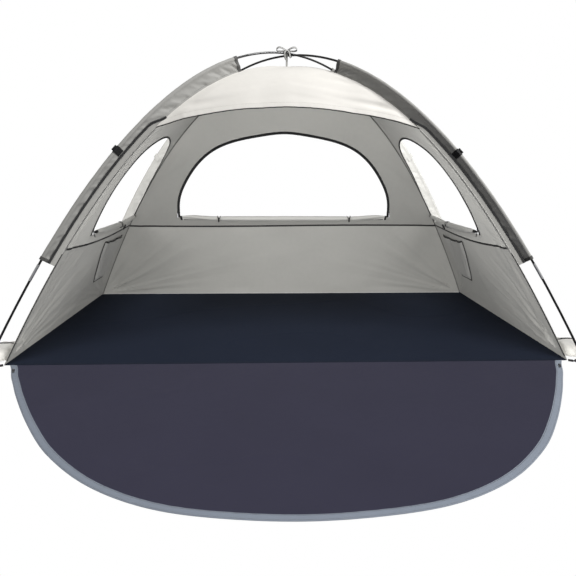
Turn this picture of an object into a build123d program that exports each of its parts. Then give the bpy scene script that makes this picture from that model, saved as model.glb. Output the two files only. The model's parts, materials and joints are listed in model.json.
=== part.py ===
from build123d import *
import os
from math import atan, atan2, cos, degrees, hypot, radians, sin, sqrt, tan

os.makedirs("parts", exist_ok=True)

# ---------------------------------------------------------------- dimensions
# Beach tent, millimetres, +Z up, +X across the opening, +Y into the tent.
WIDTH = 2400.0            # floor, across the opening
DEPTH = 1300.0            # floor, front edge to back edge
RISE = 1300.0             # fabric apex above the ground
POLE_RISE = 1355.0        # crossing of the two pole centre lines
POLE_HALF = 1430.0        # half span of a pole, measured along the diagonal
POLE_STAGGER = 5.3        # each pole's centre line above / below the crossing
POLE_OD, POLE_ID = 9.5, 6.7
POLE_END_SECTION = 420.0  # length of the bottom section of each pole
FERRULE_OD, FERRULE_ID, FERRULE_LEN = 11.6, 9.7, 75.0
CORD_OD = 2.6
Y_FRONT = -157.0          # front edge of the floor
Y_MID = Y_FRONT + DEPTH / 2
FABRIC = 2.0              # thickness of the cloth solids
SEAM_Z = 470.0            # seam between the lower and the upper walls
TAPE = 1.6                # thickness of zip tapes and seam tapes
GAP = 0.35                # air between a tape and its wall
SLEEVE_ID, SLEEVE_OD, FIN = 14.0, 16.6, 2.0
SLEEVE_TOP, SLEEVE_BOTTOM = 268.0, 1181.0   # distance of the sleeve's ends from the middle
DOOR_LEN = 1020.0         # door panel, hinge line to tip
BINDING = 25.0
ZIP_BAND = 22.0
ROLL_R = 18.0
RING_R, RING_WIRE = 16.0, 1.8

HALF_W, HALF_D = WIDTH / 2, DEPTH / 2
DIAG = hypot(HALF_W, HALF_D)


def save(builder, name):
    builder.part.label = name
    export_step(builder.part, f"parts/{name}.step")


# ---------------------------------------------------------------- arched poles
TURNS = [0, 8, 16, 24, 32, 39, 45, 50.5, 55, 59]


def arch(rise):
    """Tangent arcs, apex to ground: [start angle, end angle, radius] with the tangent in degrees below level."""
    r0 = POLE_HALF**2 / (2 * rise)
    th = [radians(a) for a in TURNS] + [atan(POLE_HALF / r0)]
    rows = []
    for a, b in zip(th, th[1:]):
        ds, dz = r0 * (tan(b) - tan(a)), r0 / 2 * (tan(b) ** 2 - tan(a) ** 2)
        u, v = sin(b) - sin(a), cos(a) - cos(b)
        rows.append([a, b, (ds * u + dz * v) / (u * u + v * v), u, v])
    n = len(rows)
    # two corrections, one constant and one growing, bring the foot to (POLE_HALF, -rise)
    s0 = sum(r * u for _, _, r, u, _ in rows)
    z0 = sum(r * v for _, _, r, _, v in rows)
    s1 = sum(r * u * i / n for i, (_, _, r, u, _) in enumerate(rows))
    z1 = sum(r * v * i / n for i, (_, _, r, _, v) in enumerate(rows))
    det = s0 * z1 - z0 * s1
    k0 = (POLE_HALF * z1 - rise * s1) / det
    k1 = (s0 * rise - z0 * POLE_HALF) / det
    return [(a, b, r * (k0 + k1 * i / n)) for i, (a, b, r, _, _) in enumerate(rows)]


def arch_point(rows, rise, length):
    """Point (s, z) and tangent angle at an arc length from the apex; negative lengths are the other side."""
    side = -1 if length < 0 else 1
    left, s, z = abs(length), 0.0, rise
    for a, b, r in rows:
        span = r * (b - a)
        if left <= span + 1e-9 or (a, b, r) == rows[-1]:
            t = a + left / r
            return side * (s + r * (sin(t) - sin(a))), z - r * (cos(a) - cos(t)), t
        left -= span
        s += r * (sin(b) - sin(a))
        z -= r * (cos(a) - cos(b))


def arch_length(rows, dist):
    """Arc length at a horizontal distance from the apex."""
    low, high = 0.0, 3000.0
    for _ in range(60):
        mid = (low + high) / 2
        if arch_point(rows, 0, mid)[0] < dist:
            low = mid
        else:
            high = mid
    return low


def arch_edges(rows, rise, l0, l1):
    """Adds the arcs between two arc lengths to the open BuildLine."""
    stops = [0.0]
    for a, b, r in rows:
        stops.append(stops[-1] + r * (b - a))
    cuts = sorted({l0, l1, *[k for q in stops[:-1] for k in (q, -q) if l0 + 2 < k < l1 - 2]})
    for p, q in zip(cuts, cuts[1:]):
        pts = [arch_point(rows, rise, v)[:2] for v in (p, (p + q) / 2, q)]
        ThreePointArc(*pts)


def diagonal(sx, sy):
    """Vertical plane along a diagonal of the floor, x outward to corner (sx, sy), y up."""
    d = Vector(sx * HALF_W / DIAG, sy * HALF_D / DIAG, 0)
    return Plane(origin=(0, Y_MID, 0), x_dir=d, z_dir=d.cross(Vector(0, 0, 1)))


POLES = {
    # name: (plane with x towards the named front corner, rise)
    "pole_a": (diagonal(-1, -1), POLE_RISE + POLE_STAGGER),
    "pole_b": (diagonal(1, -1), POLE_RISE - POLE_STAGGER),
}
ARCHES = {k: arch(v[1]) for k, v in POLES.items()}


def foot_length(rows, rise, z):
    low, high = 1500.0, 2300.0
    for _ in range(60):
        mid = (low + high) / 2
        if arch_point(rows, rise, mid)[1] > z:
            low = mid
        else:
            high = mid
    return low


EYE_Z = 6.9
END = {}
for k, (pl, rise) in POLES.items():
    END[k] = foot_length(ARCHES[k], rise, EYE_Z)


def swept(plane, rows, rise, l0, l1, outer, inner=0.0, fin=None):
    """A tube (or a tube with a fin on its inner side) along part of an arch."""
    with BuildPart() as piece:
        with BuildLine(plane) as path:
            arch_edges(rows, rise, l0, l1)
        start = path.wire() @ 0
        along = path.wire() % 0
        section = Plane(origin=start, x_dir=plane.z_dir, z_dir=along)
        with BuildSketch(section):
            Circle(outer)
            if fin:
                # local y is across the path; the centre of curvature is on one side of it
                down = -1 if section.y_dir.Z > 0 else 1
                with Locations((0, down * fin / 2)):
                    Rectangle(FIN, fin)
            if inner:
                Circle(inner, mode=Mode.SUBTRACT)
        sweep(path=path.wire())
    return piece


def compound(builders):
    """One node from several finished pieces, kept as separate solids."""
    return Compound(children=[b.part for b in builders])


def save_group(builders, name):
    group = compound(builders)
    group.label = name
    export_step(group, f"parts/{name}.step")


for key, (pl, rise) in POLES.items():
    rows, end = ARCHES[key], END[key]
    tube_end = end - 11.4
    joints = [-(tube_end - POLE_END_SECTION)]
    middle = 2 * (tube_end - POLE_END_SECTION) / 5
    for i in range(5):
        joints.append(joints[-1] + middle)
    cuts = [-tube_end] + joints + [tube_end]
    tubes = []
    for i, (p, q) in enumerate(zip(cuts, cuts[1:])):
        p2 = p + (0.2 if i else 0)
        q2 = q - (0.2 if i < 6 else 0)
        tubes.append(swept(pl, rows, rise, p2, q2, POLE_OD / 2, POLE_ID / 2))
    # the positive side of the plane runs to the front corner
    save_group([tubes[6], tubes[0]], f"{key}_end_sections")
    save_group(tubes[1:6], f"{key}_middle_sections")
    ferrules = [
        swept(pl, rows, rise, j - FERRULE_LEN / 2, j + FERRULE_LEN / 2, FERRULE_OD / 2, FERRULE_ID / 2)
        for j in joints
    ]
    save_group(ferrules, f"{key}_ferrules")
    cord = swept(pl, rows, rise, -(tube_end - 58), tube_end - 58, CORD_OD / 2)
    save(cord, f"{key}_shock_cord")
    # fabric sleeves: a tube round the pole with a flat fin to the ridge of the fabric
    fin = 53.0 if key == "pole_a" else 47.0
    l_top, l_bot = arch_length(rows, SLEEVE_TOP), arch_length(rows, SLEEVE_BOTTOM)
    front = swept(pl, rows, rise, l_top, l_bot, SLEEVE_OD / 2, SLEEVE_ID / 2, fin)
    rear = swept(pl, rows, rise, -l_bot, -l_top, SLEEVE_OD / 2, SLEEVE_ID / 2, fin)
    side = {"pole_a": ("left", "right"), "pole_b": ("right", "left")}[key]
    save(front, f"front_{side[0]}_sleeve")
    save(rear, f"rear_{side[1]}_sleeve")

# ---------------------------------------------------------------- pole ends, pins, rings and straps
tips, pins, rings, straps, plugs = [], [], [], [], []
for sx, sy in ((-1, -1), (1, -1), (-1, 1), (1, 1)):
    key = "pole_a" if sx * sy * -sy == -sx and (sx, sy) in ((-1, -1), (1, 1)) else "pole_b"
    rise = POLES[key][1]
    pl = diagonal(sx, sy)
    rows, end = ARCHES[key], END[key]
    es, ez, et = arch_point(rows, rise, end)
    eye = pl.from_local_coords(Vector(es, ez, 0))
    back = pl.from_local_coords(Vector(es - cos(et), ez + sin(et), 0)) - eye   # up the pole
    up_pole = Plane(origin=eye, x_dir=pl.z_dir, z_dir=back)
    with BuildPart() as tip:
        with BuildSketch(up_pole.offset(8)):
            Circle(6.1)
        extrude(amount=25)
        with BuildSketch(up_pole.offset(7)):
            Circle(3.1)
        extrude(amount=10, mode=Mode.SUBTRACT)
        with BuildSketch(up_pole.offset(11)):
            Circle(4.95)
        extrude(amount=30, mode=Mode.SUBTRACT)
    tips.append(tip)
    with BuildPart() as pin:
        with BuildSketch(up_pole.offset(4.4)):
            Circle(2.6)
        extrude(amount=46)
        with BuildSketch(up_pole.offset(50.4)):
            Circle(2.6)
        extrude(amount=4, taper=25)
        with BuildSketch(Plane(origin=eye + pl.x_dir * 5.0, x_dir=pl.x_dir, z_dir=Vector(0, 0, 1))):
            Circle(1.7)
        revolve(axis=Axis(eye, pl.z_dir), revolution_arc=360)
    pins.append(pin)
    with BuildPart() as plug:
        with BuildSketch(up_pole.offset(57)):
            Circle(2.8)
        extrude(amount=11.5)
    plugs.append(plug)
    ring_z = ez - 3.3 + RING_WIRE + 0.12
    ring_c = pl.from_local_coords(Vector(es - RING_R, ring_z, 0))
    print(f"ring centre {sx} {sy} at", ring_c)
    with BuildPart() as ring:
        with BuildSketch(Plane(origin=ring_c + pl.x_dir * RING_R, x_dir=pl.x_dir, z_dir=pl.z_dir)):
            Circle(RING_WIRE)
        revolve(axis=Axis(ring_c, (0, 0, 1)), revolution_arc=360)
    rings.append(ring)
    loop_s = es - 2 * RING_R
    with BuildPart() as strap:
        with BuildSketch(pl):
            with Locations((loop_s, ring_z)):
                Circle(4.9)
            with Locations((loop_s - 9, 2.9)):
                Rectangle(14, 2.2)
        extrude(amount=6, both=True)
        with BuildSketch(pl):
            with Locations((loop_s, ring_z)):
                Circle(3.4)
        extrude(amount=14, both=True, mode=Mode.SUBTRACT)
        with BuildSketch(pl):
            with Locations(((DIAG + 0.5 + loop_s - 9) / 2, 2.9)):
                Rectangle(loop_s - 9 - DIAG - 0.5, 2.2)
        extrude(amount=12.5, both=True)
    straps.append(strap)
save_group(tips, "pole_tips")
save_group(pins, "corner_pins")
save_group(rings, "corner_rings")
save_group(straps, "corner_straps")
save_group(plugs, "shock_cord_anchors")

# ---------------------------------------------------------------- cloth of the body
BIG = 1.03


def vault_profile(half, outer, inner):
    """Closed strip between two parabolas, offset inward from the outer face by outer and inner."""
    a0, h0 = half - outer, RISE - outer
    a1, h1 = half - inner, RISE - inner
    Bezier((0, h0), (a0 / 2, h0), (a0, 0))
    Line((a0, 0), (a1, 0))
    Bezier((a1, 0), (a1 / 2, h1), (0, h1))
    Line((0, h1), (0, h0))


SIDES = {
    # name: (plane of the profile with local x outward and y up, half span, half length of the panel, outward direction)
    "back": (Plane(origin=(0, Y_MID, 0), x_dir=(0, 1, 0), z_dir=(1, 0, 0)), HALF_D, HALF_W),
    "front": (Plane(origin=(0, Y_MID, 0), x_dir=(0, -1, 0), z_dir=(-1, 0, 0)), HALF_D, HALF_W),
    "left": (Plane(origin=(0, Y_MID, 0), x_dir=(-1, 0, 0), z_dir=(0, 1, 0)), HALF_W, HALF_D),
    "right": (Plane(origin=(0, Y_MID, 0), x_dir=(1, 0, 0), z_dir=(0, -1, 0)), HALF_W, HALF_D),
}
CORNERS = {
    "back": ((-HALF_W, HALF_D), (HALF_W, HALF_D)),
    "front": ((HALF_W, -HALF_D), (-HALF_W, -HALF_D)),
    "left": ((-HALF_W, -HALF_D), (-HALF_W, HALF_D)),
    "right": ((HALF_W, HALF_D), (HALF_W, -HALF_D)),
}
PLAN = Plane(origin=(0, Y_MID, 0), x_dir=(1, 0, 0), z_dir=(0, 0, 1))


def vault(side, outer, inner):
    """Adds the strip of vault over one side's triangle of the floor to the open part."""
    pl, half, length = SIDES[side]
    with BuildSketch(pl) as profile:
        with BuildLine():
            vault_profile(half, outer, inner)
        make_face()
    extrude(profile.sketch, amount=length * BIG, both=True)
    with BuildSketch(PLAN.offset(-10)) as triangle:
        with BuildLine():
            (ax, ay), (bx, by) = CORNERS[side]
            Polyline((0, 0), (ax * BIG, ay * BIG), (bx * BIG, by * BIG), close=True)
        make_face()
    extrude(triangle.sketch, amount=RISE + 40, mode=Mode.INTERSECT)


def outline(points, grow):
    """Moves an open run of points outward (to its left when followed) by grow."""
    moved = []
    for i, p in enumerate(points):
        q, r = points[max(i - 1, 0)], points[min(i + 1, len(points) - 1)]
        dx, dy = r[0] - q[0], r[1] - q[1]
        n = hypot(dx, dy)
        moved.append((p[0] + grow * dy / n, p[1] - grow * dx / n))
    return moved


# Window outlines, from the lower right corner round to the lower left one, in (across, height).
BACK_WINDOW_BASE = 521.0
BACK_HALF = [(640, 521), (630, 626), (574, 744), (490, 848), (400, 915), (283, 960), (141, 988), (0, 1003)]
BACK_WINDOW = BACK_HALF + [(-x, z) for x, z in BACK_HALF[-2::-1]]
SIDE_WINDOW_BASE = 497.0
# (distance from the front edge of the floor, height), rear corner first
SIDE_WINDOW = [(1140, 497), (1122, 600), (1050, 740), (985, 845), (890, 925), (770, 957), (640, 960), (530, 928),
               (440, 865), (396, 765), (384, 660), (400, 570), (425, 497)]


def window_face(points, base, grow, low=None):
    """Face between a window's outline grown by grow and a level base line."""
    pts = outline(points, grow)
    low = base - grow if low is None else low
    pts[0] = (pts[0][0], low)
    pts[-1] = (pts[-1][0], low)
    Spline(*pts)
    Line(pts[-1], pts[0])


def window_plane(side):
    """Plane facing a wall, local x as the outlines count it and y up."""
    if side == "back":
        return Plane(origin=(0, Y_MID, 0), x_dir=(1, 0, 0), z_dir=(0, -1, 0)), 1400
    # local x runs from the floor's front edge to the back
    if side == "right":
        return Plane(origin=(0, Y_FRONT, 0), x_dir=(0, 1, 0), z_dir=(1, 0, 0)), 1400
    return Plane(origin=(0, Y_FRONT, 0), x_dir=(0, 1, 0), z_dir=(1, 0, 0)), -1400


def reach(side):
    pl, _ = window_plane(side)
    return {"back": -1400, "right": 1400, "left": -1400}[side]


for side in ("back", "left", "right"):
    points, base = (BACK_WINDOW, BACK_WINDOW_BASE) if side == "back" else (SIDE_WINDOW, SIDE_WINDOW_BASE)
    facing, _ = window_plane(side)
    with BuildPart() as lower:
        vault(side, 0, FABRIC)
        split(bisect_by=Plane.XY.offset(SEAM_Z), keep=Keep.BOTTOM)
        split(bisect_by=Plane.XY.offset(FABRIC), keep=Keep.TOP)
    save(lower, f"{side}_lower_wall")
    if side == "left":
        continue
    with BuildPart() as upper:
        vault(side, 0, FABRIC)
        split(bisect_by=Plane.XY.offset(SEAM_Z), keep=Keep.TOP)
        with BuildSketch(facing):
            with BuildLine():
                window_face(points, base, 0)
            make_face()
        extrude(amount=reach(side), mode=Mode.SUBTRACT)
    save(upper, f"{side}_upper_wall")
    with BuildPart() as tape:
        vault(side, FABRIC + GAP, FABRIC + GAP + TAPE)
        with BuildSketch(facing):
            with BuildLine():
                window_face(points, base, ZIP_BAND, base)
            make_face()
            with BuildLine():
                window_face(points, base, 1.5, base - 5)
            make_face(mode=Mode.SUBTRACT)
        extrude(amount=reach(side), mode=Mode.INTERSECT)
    save(tape, f"{side}_window_zip_tape")
    if side == "right":
        # the left wall is the exact mirror image of the right one
        with BuildPart() as left_upper:
            mirror(upper.part, about=Plane.YZ)
        save(left_upper, "left_upper_wall")
        with BuildPart() as left_tape:
            mirror(tape.part, about=Plane.YZ)
        save(left_tape, "left_window_zip_tape")

seams = []
for side in ("back", "left", "right"):
    with BuildPart() as seam:
        vault(side, FABRIC + GAP, FABRIC + GAP + 1.2)
        split(bisect_by=Plane.XY.offset(SEAM_Z + 6), keep=Keep.BOTTOM)
        split(bisect_by=Plane.XY.offset(SEAM_Z - 6), keep=Keep.TOP)
    seams.append(seam)
save_group(seams, "wall_seam_tape")

# front roof panel: the strip of the front vault from the apex to the top of the opening
ARCH_MID_U, ARCH_END_U = 0.412, 0.492


def front_edge(grow, trim=0.0):
    """Plan arc of the opening's top edge, grown towards the front, as three points from the middle of the floor."""
    x = HALF_W * ARCH_END_U + grow * 1.3 - trim
    return [(-x, -HALF_D * ARCH_END_U - grow), (0, -HALF_D * ARCH_MID_U - grow), (x, -HALF_D * ARCH_END_U - grow)]


with BuildPart() as front_roof:
    vault("front", 0, FABRIC)
    with BuildSketch(PLAN):
        with BuildLine():
            a, b, c = front_edge(0)
            ThreePointArc(a, b, c)
            Polyline(c, (900, -120), (900, 60), (-900, 60), (-900, -120), a)
        make_face()
    extrude(amount=RISE + 40, mode=Mode.INTERSECT)
save(front_roof, "front_roof_panel")

with BuildPart() as piping:
    vault("front", -1.5, FABRIC + 1.5)
    with BuildSketch(PLAN):
        with BuildLine():
            a, b, c = front_edge(0.3, 5)
            d, e, f = front_edge(5.3, 5)
            ThreePointArc(a, b, c)
            Line(c, f)
            ThreePointArc(f, e, d)
            Line(d, a)
        make_face()
    extrude(amount=RISE + 40, mode=Mode.INTERSECT)
save(piping, "front_arch_piping")

# half of the door zip, sewn inside the front edges of the side walls
tracks = []
for side, sx in (("left", -1), ("right", 1)):
    with BuildPart() as track:
        vault(side, FABRIC + GAP + 1.6, FABRIC + GAP + 1.6 + TAPE)
        with BuildSketch(PLAN):
            with BuildLine():
                x0, y0 = HALF_W * 0.50, -HALF_D * 0.50
                x1, y1 = HALF_W * 0.975, -HALF_D * 0.975
                Polyline((sx * x0, y0 + 1.0), (sx * x1, y1 + 1.0), (sx * x1, y1 + 31), (sx * x0, y0 + 31), close=True)
            make_face()
        extrude(amount=RISE + 40, mode=Mode.INTERSECT)
    tracks.append(track)
save_group(tracks, "door_zip_track")

# floor and door panel
with BuildPart() as floor_sheet:
    with BuildSketch(PLAN):
        with Locations((0, 1.0)):
            Rectangle(WIDTH, DEPTH - 2.0)
    extrude(amount=FABRIC)
save(floor_sheet, "floor_sheet")

# half outline of the door, (half width, distance ahead of the hinge line)
DOOR = [(1172, 1.5), (1150, 40), (1112, 118), (1066, 200), (1023, 276), (981, 346), (903, 470), (828, 580), (753, 680),
        (675, 765), (589, 843), (487, 912), (342, 975), (203, 1004), (0, DOOR_LEN)]
DOOR_FULL = [(x, -y) for x, y in DOOR] + [(-x, -y) for x, y in DOOR[-2::-1]]
HINGE = Plane(origin=(0, Y_FRONT, 0), x_dir=(1, 0, 0), z_dir=(0, 0, 1))


def door_face(inset):
    pts = outline(DOOR_FULL, inset)
    pts[0] = (pts[0][0], -1.5)
    pts[-1] = (pts[-1][0], -1.5)
    Spline(*pts)
    Line(pts[-1], pts[0])


with BuildPart() as door_panel:
    with BuildSketch(HINGE):
        with BuildLine():
            door_face(BINDING + 0.3)
        make_face()
    extrude(amount=FABRIC)
save(door_panel, "door_panel")

with BuildPart() as door_binding:
    with BuildSketch(HINGE):
        with BuildLine():
            door_face(0)
        make_face()
        with BuildLine():
            door_face(BINDING)
        make_face(mode=Mode.SUBTRACT)
    extrude(amount=FABRIC + 0.6)
save(door_binding, "door_binding")

# ---------------------------------------------------------------- sleeve loops and the tie at the crossing
LOOP_AT = 845.0           # distance of the guy-out loops from the middle
loops = []
for sx, sy in ((-1, -1), (1, -1), (-1, 1), (1, 1)):
    key = "pole_a" if sx == sy else "pole_b"
    rows, rise = ARCHES[key], POLES[key][1]
    pl = diagonal(sx, sy)
    ls, lz, lt = arch_point(rows, rise, arch_length(rows, LOOP_AT))
    centre = pl.from_local_coords(Vector(ls, lz, 0))
    along = pl.from_local_coords(Vector(ls + cos(lt), lz - sin(lt), 0)) - centre
    out = pl.from_local_coords(Vector(ls + sin(lt), lz + cos(lt), 0)) - centre
    section = Plane(origin=centre, x_dir=along.cross(out) * -1, z_dir=along)
    up = 1 if section.y_dir.dot(out) > 0 else -1
    with BuildPart() as guy_loop:
        with BuildSketch(section):
            Circle(10.4)
            with Locations((2.4, -up * 26), (-2.4, -up * 26)):
                Rectangle(1.6, 34)
            Circle(8.8, mode=Mode.SUBTRACT)
            with Locations((0, -up * 30)):
                Rectangle(3.2, 60, mode=Mode.SUBTRACT)
            with Locations((0, up * 17)):
                Circle(7.2)
                Circle(5.6, mode=Mode.SUBTRACT)
        extrude(amount=10, both=True)
    loops.append(guy_loop)
save_group(loops, "guy_out_loops")

KNOT_Z = POLE_RISE + POLE_STAGGER + POLE_OD / 2 + 1.2
with BuildPart() as ridge_tie:
    with BuildSketch(PLAN.offset(RISE + 0.4)):
        with Locations((0, 9.2), (0, -9.2)):
            Rectangle(10, 1.6)
    extrude(amount=KNOT_Z - RISE + 1.0)
    with BuildSketch(PLAN.offset(KNOT_Z)):
        RectangleRounded(18, 21, 5)
    extrude(amount=10)
    with BuildSketch(Plane(origin=(0, Y_MID, KNOT_Z + 6), x_dir=(1, 0, 0), z_dir=(0, -1, 0))):
        with Locations(Location((30, 6), 14), Location((-30, 6), -14)):
            Ellipse(25, 12)
        with Locations(Location((30, 6), 14), Location((-30, 6), -14)):
            Ellipse(23.4, 10.4, mode=Mode.SUBTRACT)
    extrude(amount=5, both=True)
    with BuildSketch(Plane(origin=(0, Y_MID - 13, KNOT_Z), x_dir=(1, 0, 0), z_dir=(0, -1, 0))):
        with Locations(Location((-7, -16), 12), Location((9, -13), -20)):
            Rectangle(8, 44)
    extrude(amount=1.5)
    with BuildSketch(Plane(origin=(0, Y_MID - 9, KNOT_Z + 4), x_dir=(1, 0, 0), z_dir=(0, -1, 0))):
        Rectangle(14, 8)
    extrude(amount=5.5)
save(ridge_tie, "ridge_tie")

# ---------------------------------------------------------------- window flaps, loops and toggles
OUT = {"back": Vector(0, 1, 0), "left": Vector(-1, 0, 0), "right": Vector(1, 0, 0)}
HALF = {"back": HALF_D, "left": HALF_W, "right": HALF_W}


def wall_point(side, z, along):
    """Point on a wall's inner face with its directions: up the wall, inward, and along it."""
    h, half, rise = OUT[side], HALF[side] - FABRIC, RISE - FABRIC
    root = sqrt(1 - z / rise)
    dist, slope = half * root, -half / (2 * rise * root)
    t = (h * slope + Vector(0, 0, 1)).normalized()
    n = (h * -1 + Vector(0, 0, slope)).normalized()
    a = t.cross(n)
    base = Vector(along, Y_MID, z) if side == "back" else Vector(0, Y_FRONT + along, z)
    return base + h * dist, t, n, a


HEM_Z = 503.0
ROLL_UP, ROLL_OUT = 20.0, 20.5
HEM_OUT = 2.4
FLAPS = {
    # side: (middle along the wall, half length, toggles along the wall)
    "back": (0.0, 625.0, (-400.0, 400.0)),
    "left": (780.0, 335.0, (800.0,)),
    "right": (780.0, 335.0, (800.0,)),
}
for side, (mid, half_len, at) in FLAPS.items():
    p, t, n, a = wall_point(side, HEM_Z, mid)
    hem = p + n * HEM_OUT
    frame = Plane(origin=hem, x_dir=n, z_dir=a)     # local x inward, y up or down the wall
    up = 1 if frame.y_dir.dot(t) > 0 else -1
    print(f"{side} flap hinge at", hem, "axis", a)
    with BuildPart() as roll:
        with BuildSketch(frame):
            with Locations((ROLL_OUT, up * ROLL_UP)):
                Circle(ROLL_R)
            with BuildLine():
                Polyline((-1.1, 0), (1.1, 0), (ROLL_OUT - 6, up * (ROLL_UP - 9)), (ROLL_OUT - 12, up * (ROLL_UP - 3)), close=True)
            make_face()
        extrude(amount=half_len, both=True)
        fillet(roll.part.edges().filter_by(GeomType.CIRCLE), 5)
    save(roll, f"{side}_flap_roll")
    straps_here, knobs = [], []
    for k in at:
        q, t2, n2, a2 = wall_point(side, HEM_Z, k)
        here = Plane(origin=q + n2 * HEM_OUT, x_dir=n2, z_dir=a2)
        with BuildPart() as flap_loop:
            with BuildSketch(here):
                with Locations((ROLL_OUT, up * ROLL_UP)):
                    Circle(ROLL_R + 1.9)
                    Circle(ROLL_R + 0.35, mode=Mode.SUBTRACT)
                # open where the flap comes in from the hem
                Circle(15, mode=Mode.SUBTRACT)
            extrude(amount=6, both=True)
            stub = Plane(origin=here.from_local_coords(Vector(ROLL_OUT + ROLL_R + 1.4, up * ROLL_UP, 0)), x_dir=t2, z_dir=n2)
            with BuildSketch(stub):
                Circle(1.5)
            extrude(amount=11)
            with BuildSketch(stub.offset(10.6)):
                Circle(2.6)
            extrude(amount=1.8)
        straps_here.append(flap_loop)
        with BuildPart() as toggle:
            with BuildSketch(Plane(origin=stub.origin + n2 * 5.6, x_dir=n2, z_dir=t2)):
                Circle(4.3)
            extrude(amount=15, both=True)
            fillet(toggle.part.edges().filter_by(GeomType.CIRCLE), 1.6)
            with BuildSketch(stub.offset(-2)):
                Circle(1.9)
            extrude(amount=16, mode=Mode.SUBTRACT)
        print(f"{side} toggle at", stub.origin + n2 * 5.6, "axis", n2)
        knobs.append(toggle)
    save_group(straps_here, f"{side}_flap_loops")
    if side == "back":
        save(knobs[0], "back_toggle_left")
        save(knobs[1], "back_toggle_right")
    else:
        save(knobs[0], f"{side}_toggle")

# ---------------------------------------------------------------- pockets inside the side walls
POCKET_LOW, POCKET_HIGH = 165.0, 420.0
POCKET_FROM, POCKET_TO = 760.0, 1080.0
POCKET_DEEP = 17.0
with BuildPart() as right_pocket:
    vault("right", FABRIC + 0.6, FABRIC + POCKET_DEEP)
    split(bisect_by=Plane.XY.offset(POCKET_HIGH), keep=Keep.BOTTOM)
    split(bisect_by=Plane.XY.offset(POCKET_LOW), keep=Keep.TOP)
    with BuildSketch(Plane(origin=(0, Y_FRONT, 0), x_dir=(0, 1, 0), z_dir=(1, 0, 0))):
        with Locations(((POCKET_FROM + POCKET_TO) / 2, 300)):
            Rectangle(POCKET_TO - POCKET_FROM, 600)
    extrude(amount=1400, mode=Mode.INTERSECT)
with BuildPart() as pocket_hollow:
    vault("right", FABRIC - 1.5, FABRIC + POCKET_DEEP - 1.6)
    split(bisect_by=Plane.XY.offset(POCKET_HIGH + 40), keep=Keep.BOTTOM)
    split(bisect_by=Plane.XY.offset(POCKET_LOW + 2), keep=Keep.TOP)
    with BuildSketch(Plane(origin=(0, Y_FRONT, 0), x_dir=(0, 1, 0), z_dir=(1, 0, 0))):
        with Locations(((POCKET_FROM + POCKET_TO) / 2, 300)):
            Rectangle(POCKET_TO - POCKET_FROM - 4, 600)
    extrude(amount=1400, mode=Mode.INTERSECT)
with BuildPart() as right_pocket_open:
    add(right_pocket.part)
    add(pocket_hollow.part, mode=Mode.SUBTRACT)
save(right_pocket_open, "right_pocket")
with BuildPart() as left_pocket:
    mirror(right_pocket_open.part, about=Plane.YZ)
save(left_pocket, "left_pocket")

# ---------------------------------------------------------------- sand pouches outside the side walls
pouches = []
for sx in (-1, 1):
    for at in (128.0, 1172.0):
        with BuildPart() as pouch:
            with BuildSketch(PLAN):
                with Locations((sx * (HALF_W + 66), at - HALF_D)):
                    RectangleRounded(104, 176, 26)
            extrude(amount=52)
            fillet(pouch.part.faces().sort_by(Axis.Z)[-1].edges(), 20)
            with BuildSketch(PLAN):
                with Locations((sx * (HALF_W + 17), at - HALF_D)):
                    Rectangle(30, 150)
            extrude(amount=2)
        pouches.append(pouch)
save_group(pouches, "sand_pouches")

# ---------------------------------------------------------------- zip sliders and their pulls
TAB_LEN = 27.0


def zip_slider(origin, x, t, n):
    """Slider standing on a tape: x across it, t along it, n away from it."""
    base = Plane(origin=origin, x_dir=x, z_dir=n)
    with BuildPart() as body:
        with BuildSketch(base.offset(0.6)):
            RectangleRounded(10, 14, 2)
        extrude(amount=3.4)
        with BuildSketch(base.offset(3.9)):
            with Locations((0, -3)):
                with Locations((3.2, 0), (-3.2, 0)):
                    Rectangle(1.4, 4.4)
        extrude(amount=4.6)
        with BuildSketch(Plane(origin=origin + n * 6.6 - t * 3, x_dir=n, z_dir=x)):
            Circle(0.9)
        extrude(amount=3.4, both=True)
    return body


def zip_pull(origin, x, t, n, down):
    """Pull hanging in direction down from the slider's cross pin."""
    pivot = origin + n * 6.6 - t * 3
    side = x.cross(down)
    with BuildPart() as pull:
        with BuildSketch(Plane(origin=pivot, x_dir=side, z_dir=x)):
            Circle(2.4)
            with Locations((0, 0)):
                Circle(1.25, mode=Mode.SUBTRACT)
        extrude(amount=2.0, both=True)
        with BuildSketch(Plane(origin=pivot - side * 0.6, x_dir=x, z_dir=side)):
            sign = 1 if Plane(origin=pivot, x_dir=x, z_dir=side).y_dir.dot(down) > 0 else -1
            with Locations((0, sign * (TAB_LEN / 2 + 1.9))):
                RectangleRounded(4, TAB_LEN, 1.5)
            with Locations((0, sign * (TAB_LEN - 6))):
                RectangleRounded(8, 14, 3)
            with Locations((0, sign * (TAB_LEN - 2))):
                Circle(1.8, mode=Mode.SUBTRACT)
        extrude(amount=1.2)
    return pull, pivot


DOWN = Vector(0, 0, -1)


def tape_spot(side, z, along):
    """Point on the inner face of a window's zip tape."""
    p, t, n, a = wall_point(side, z, along)
    return p + n * (GAP + TAPE), t, n


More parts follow.
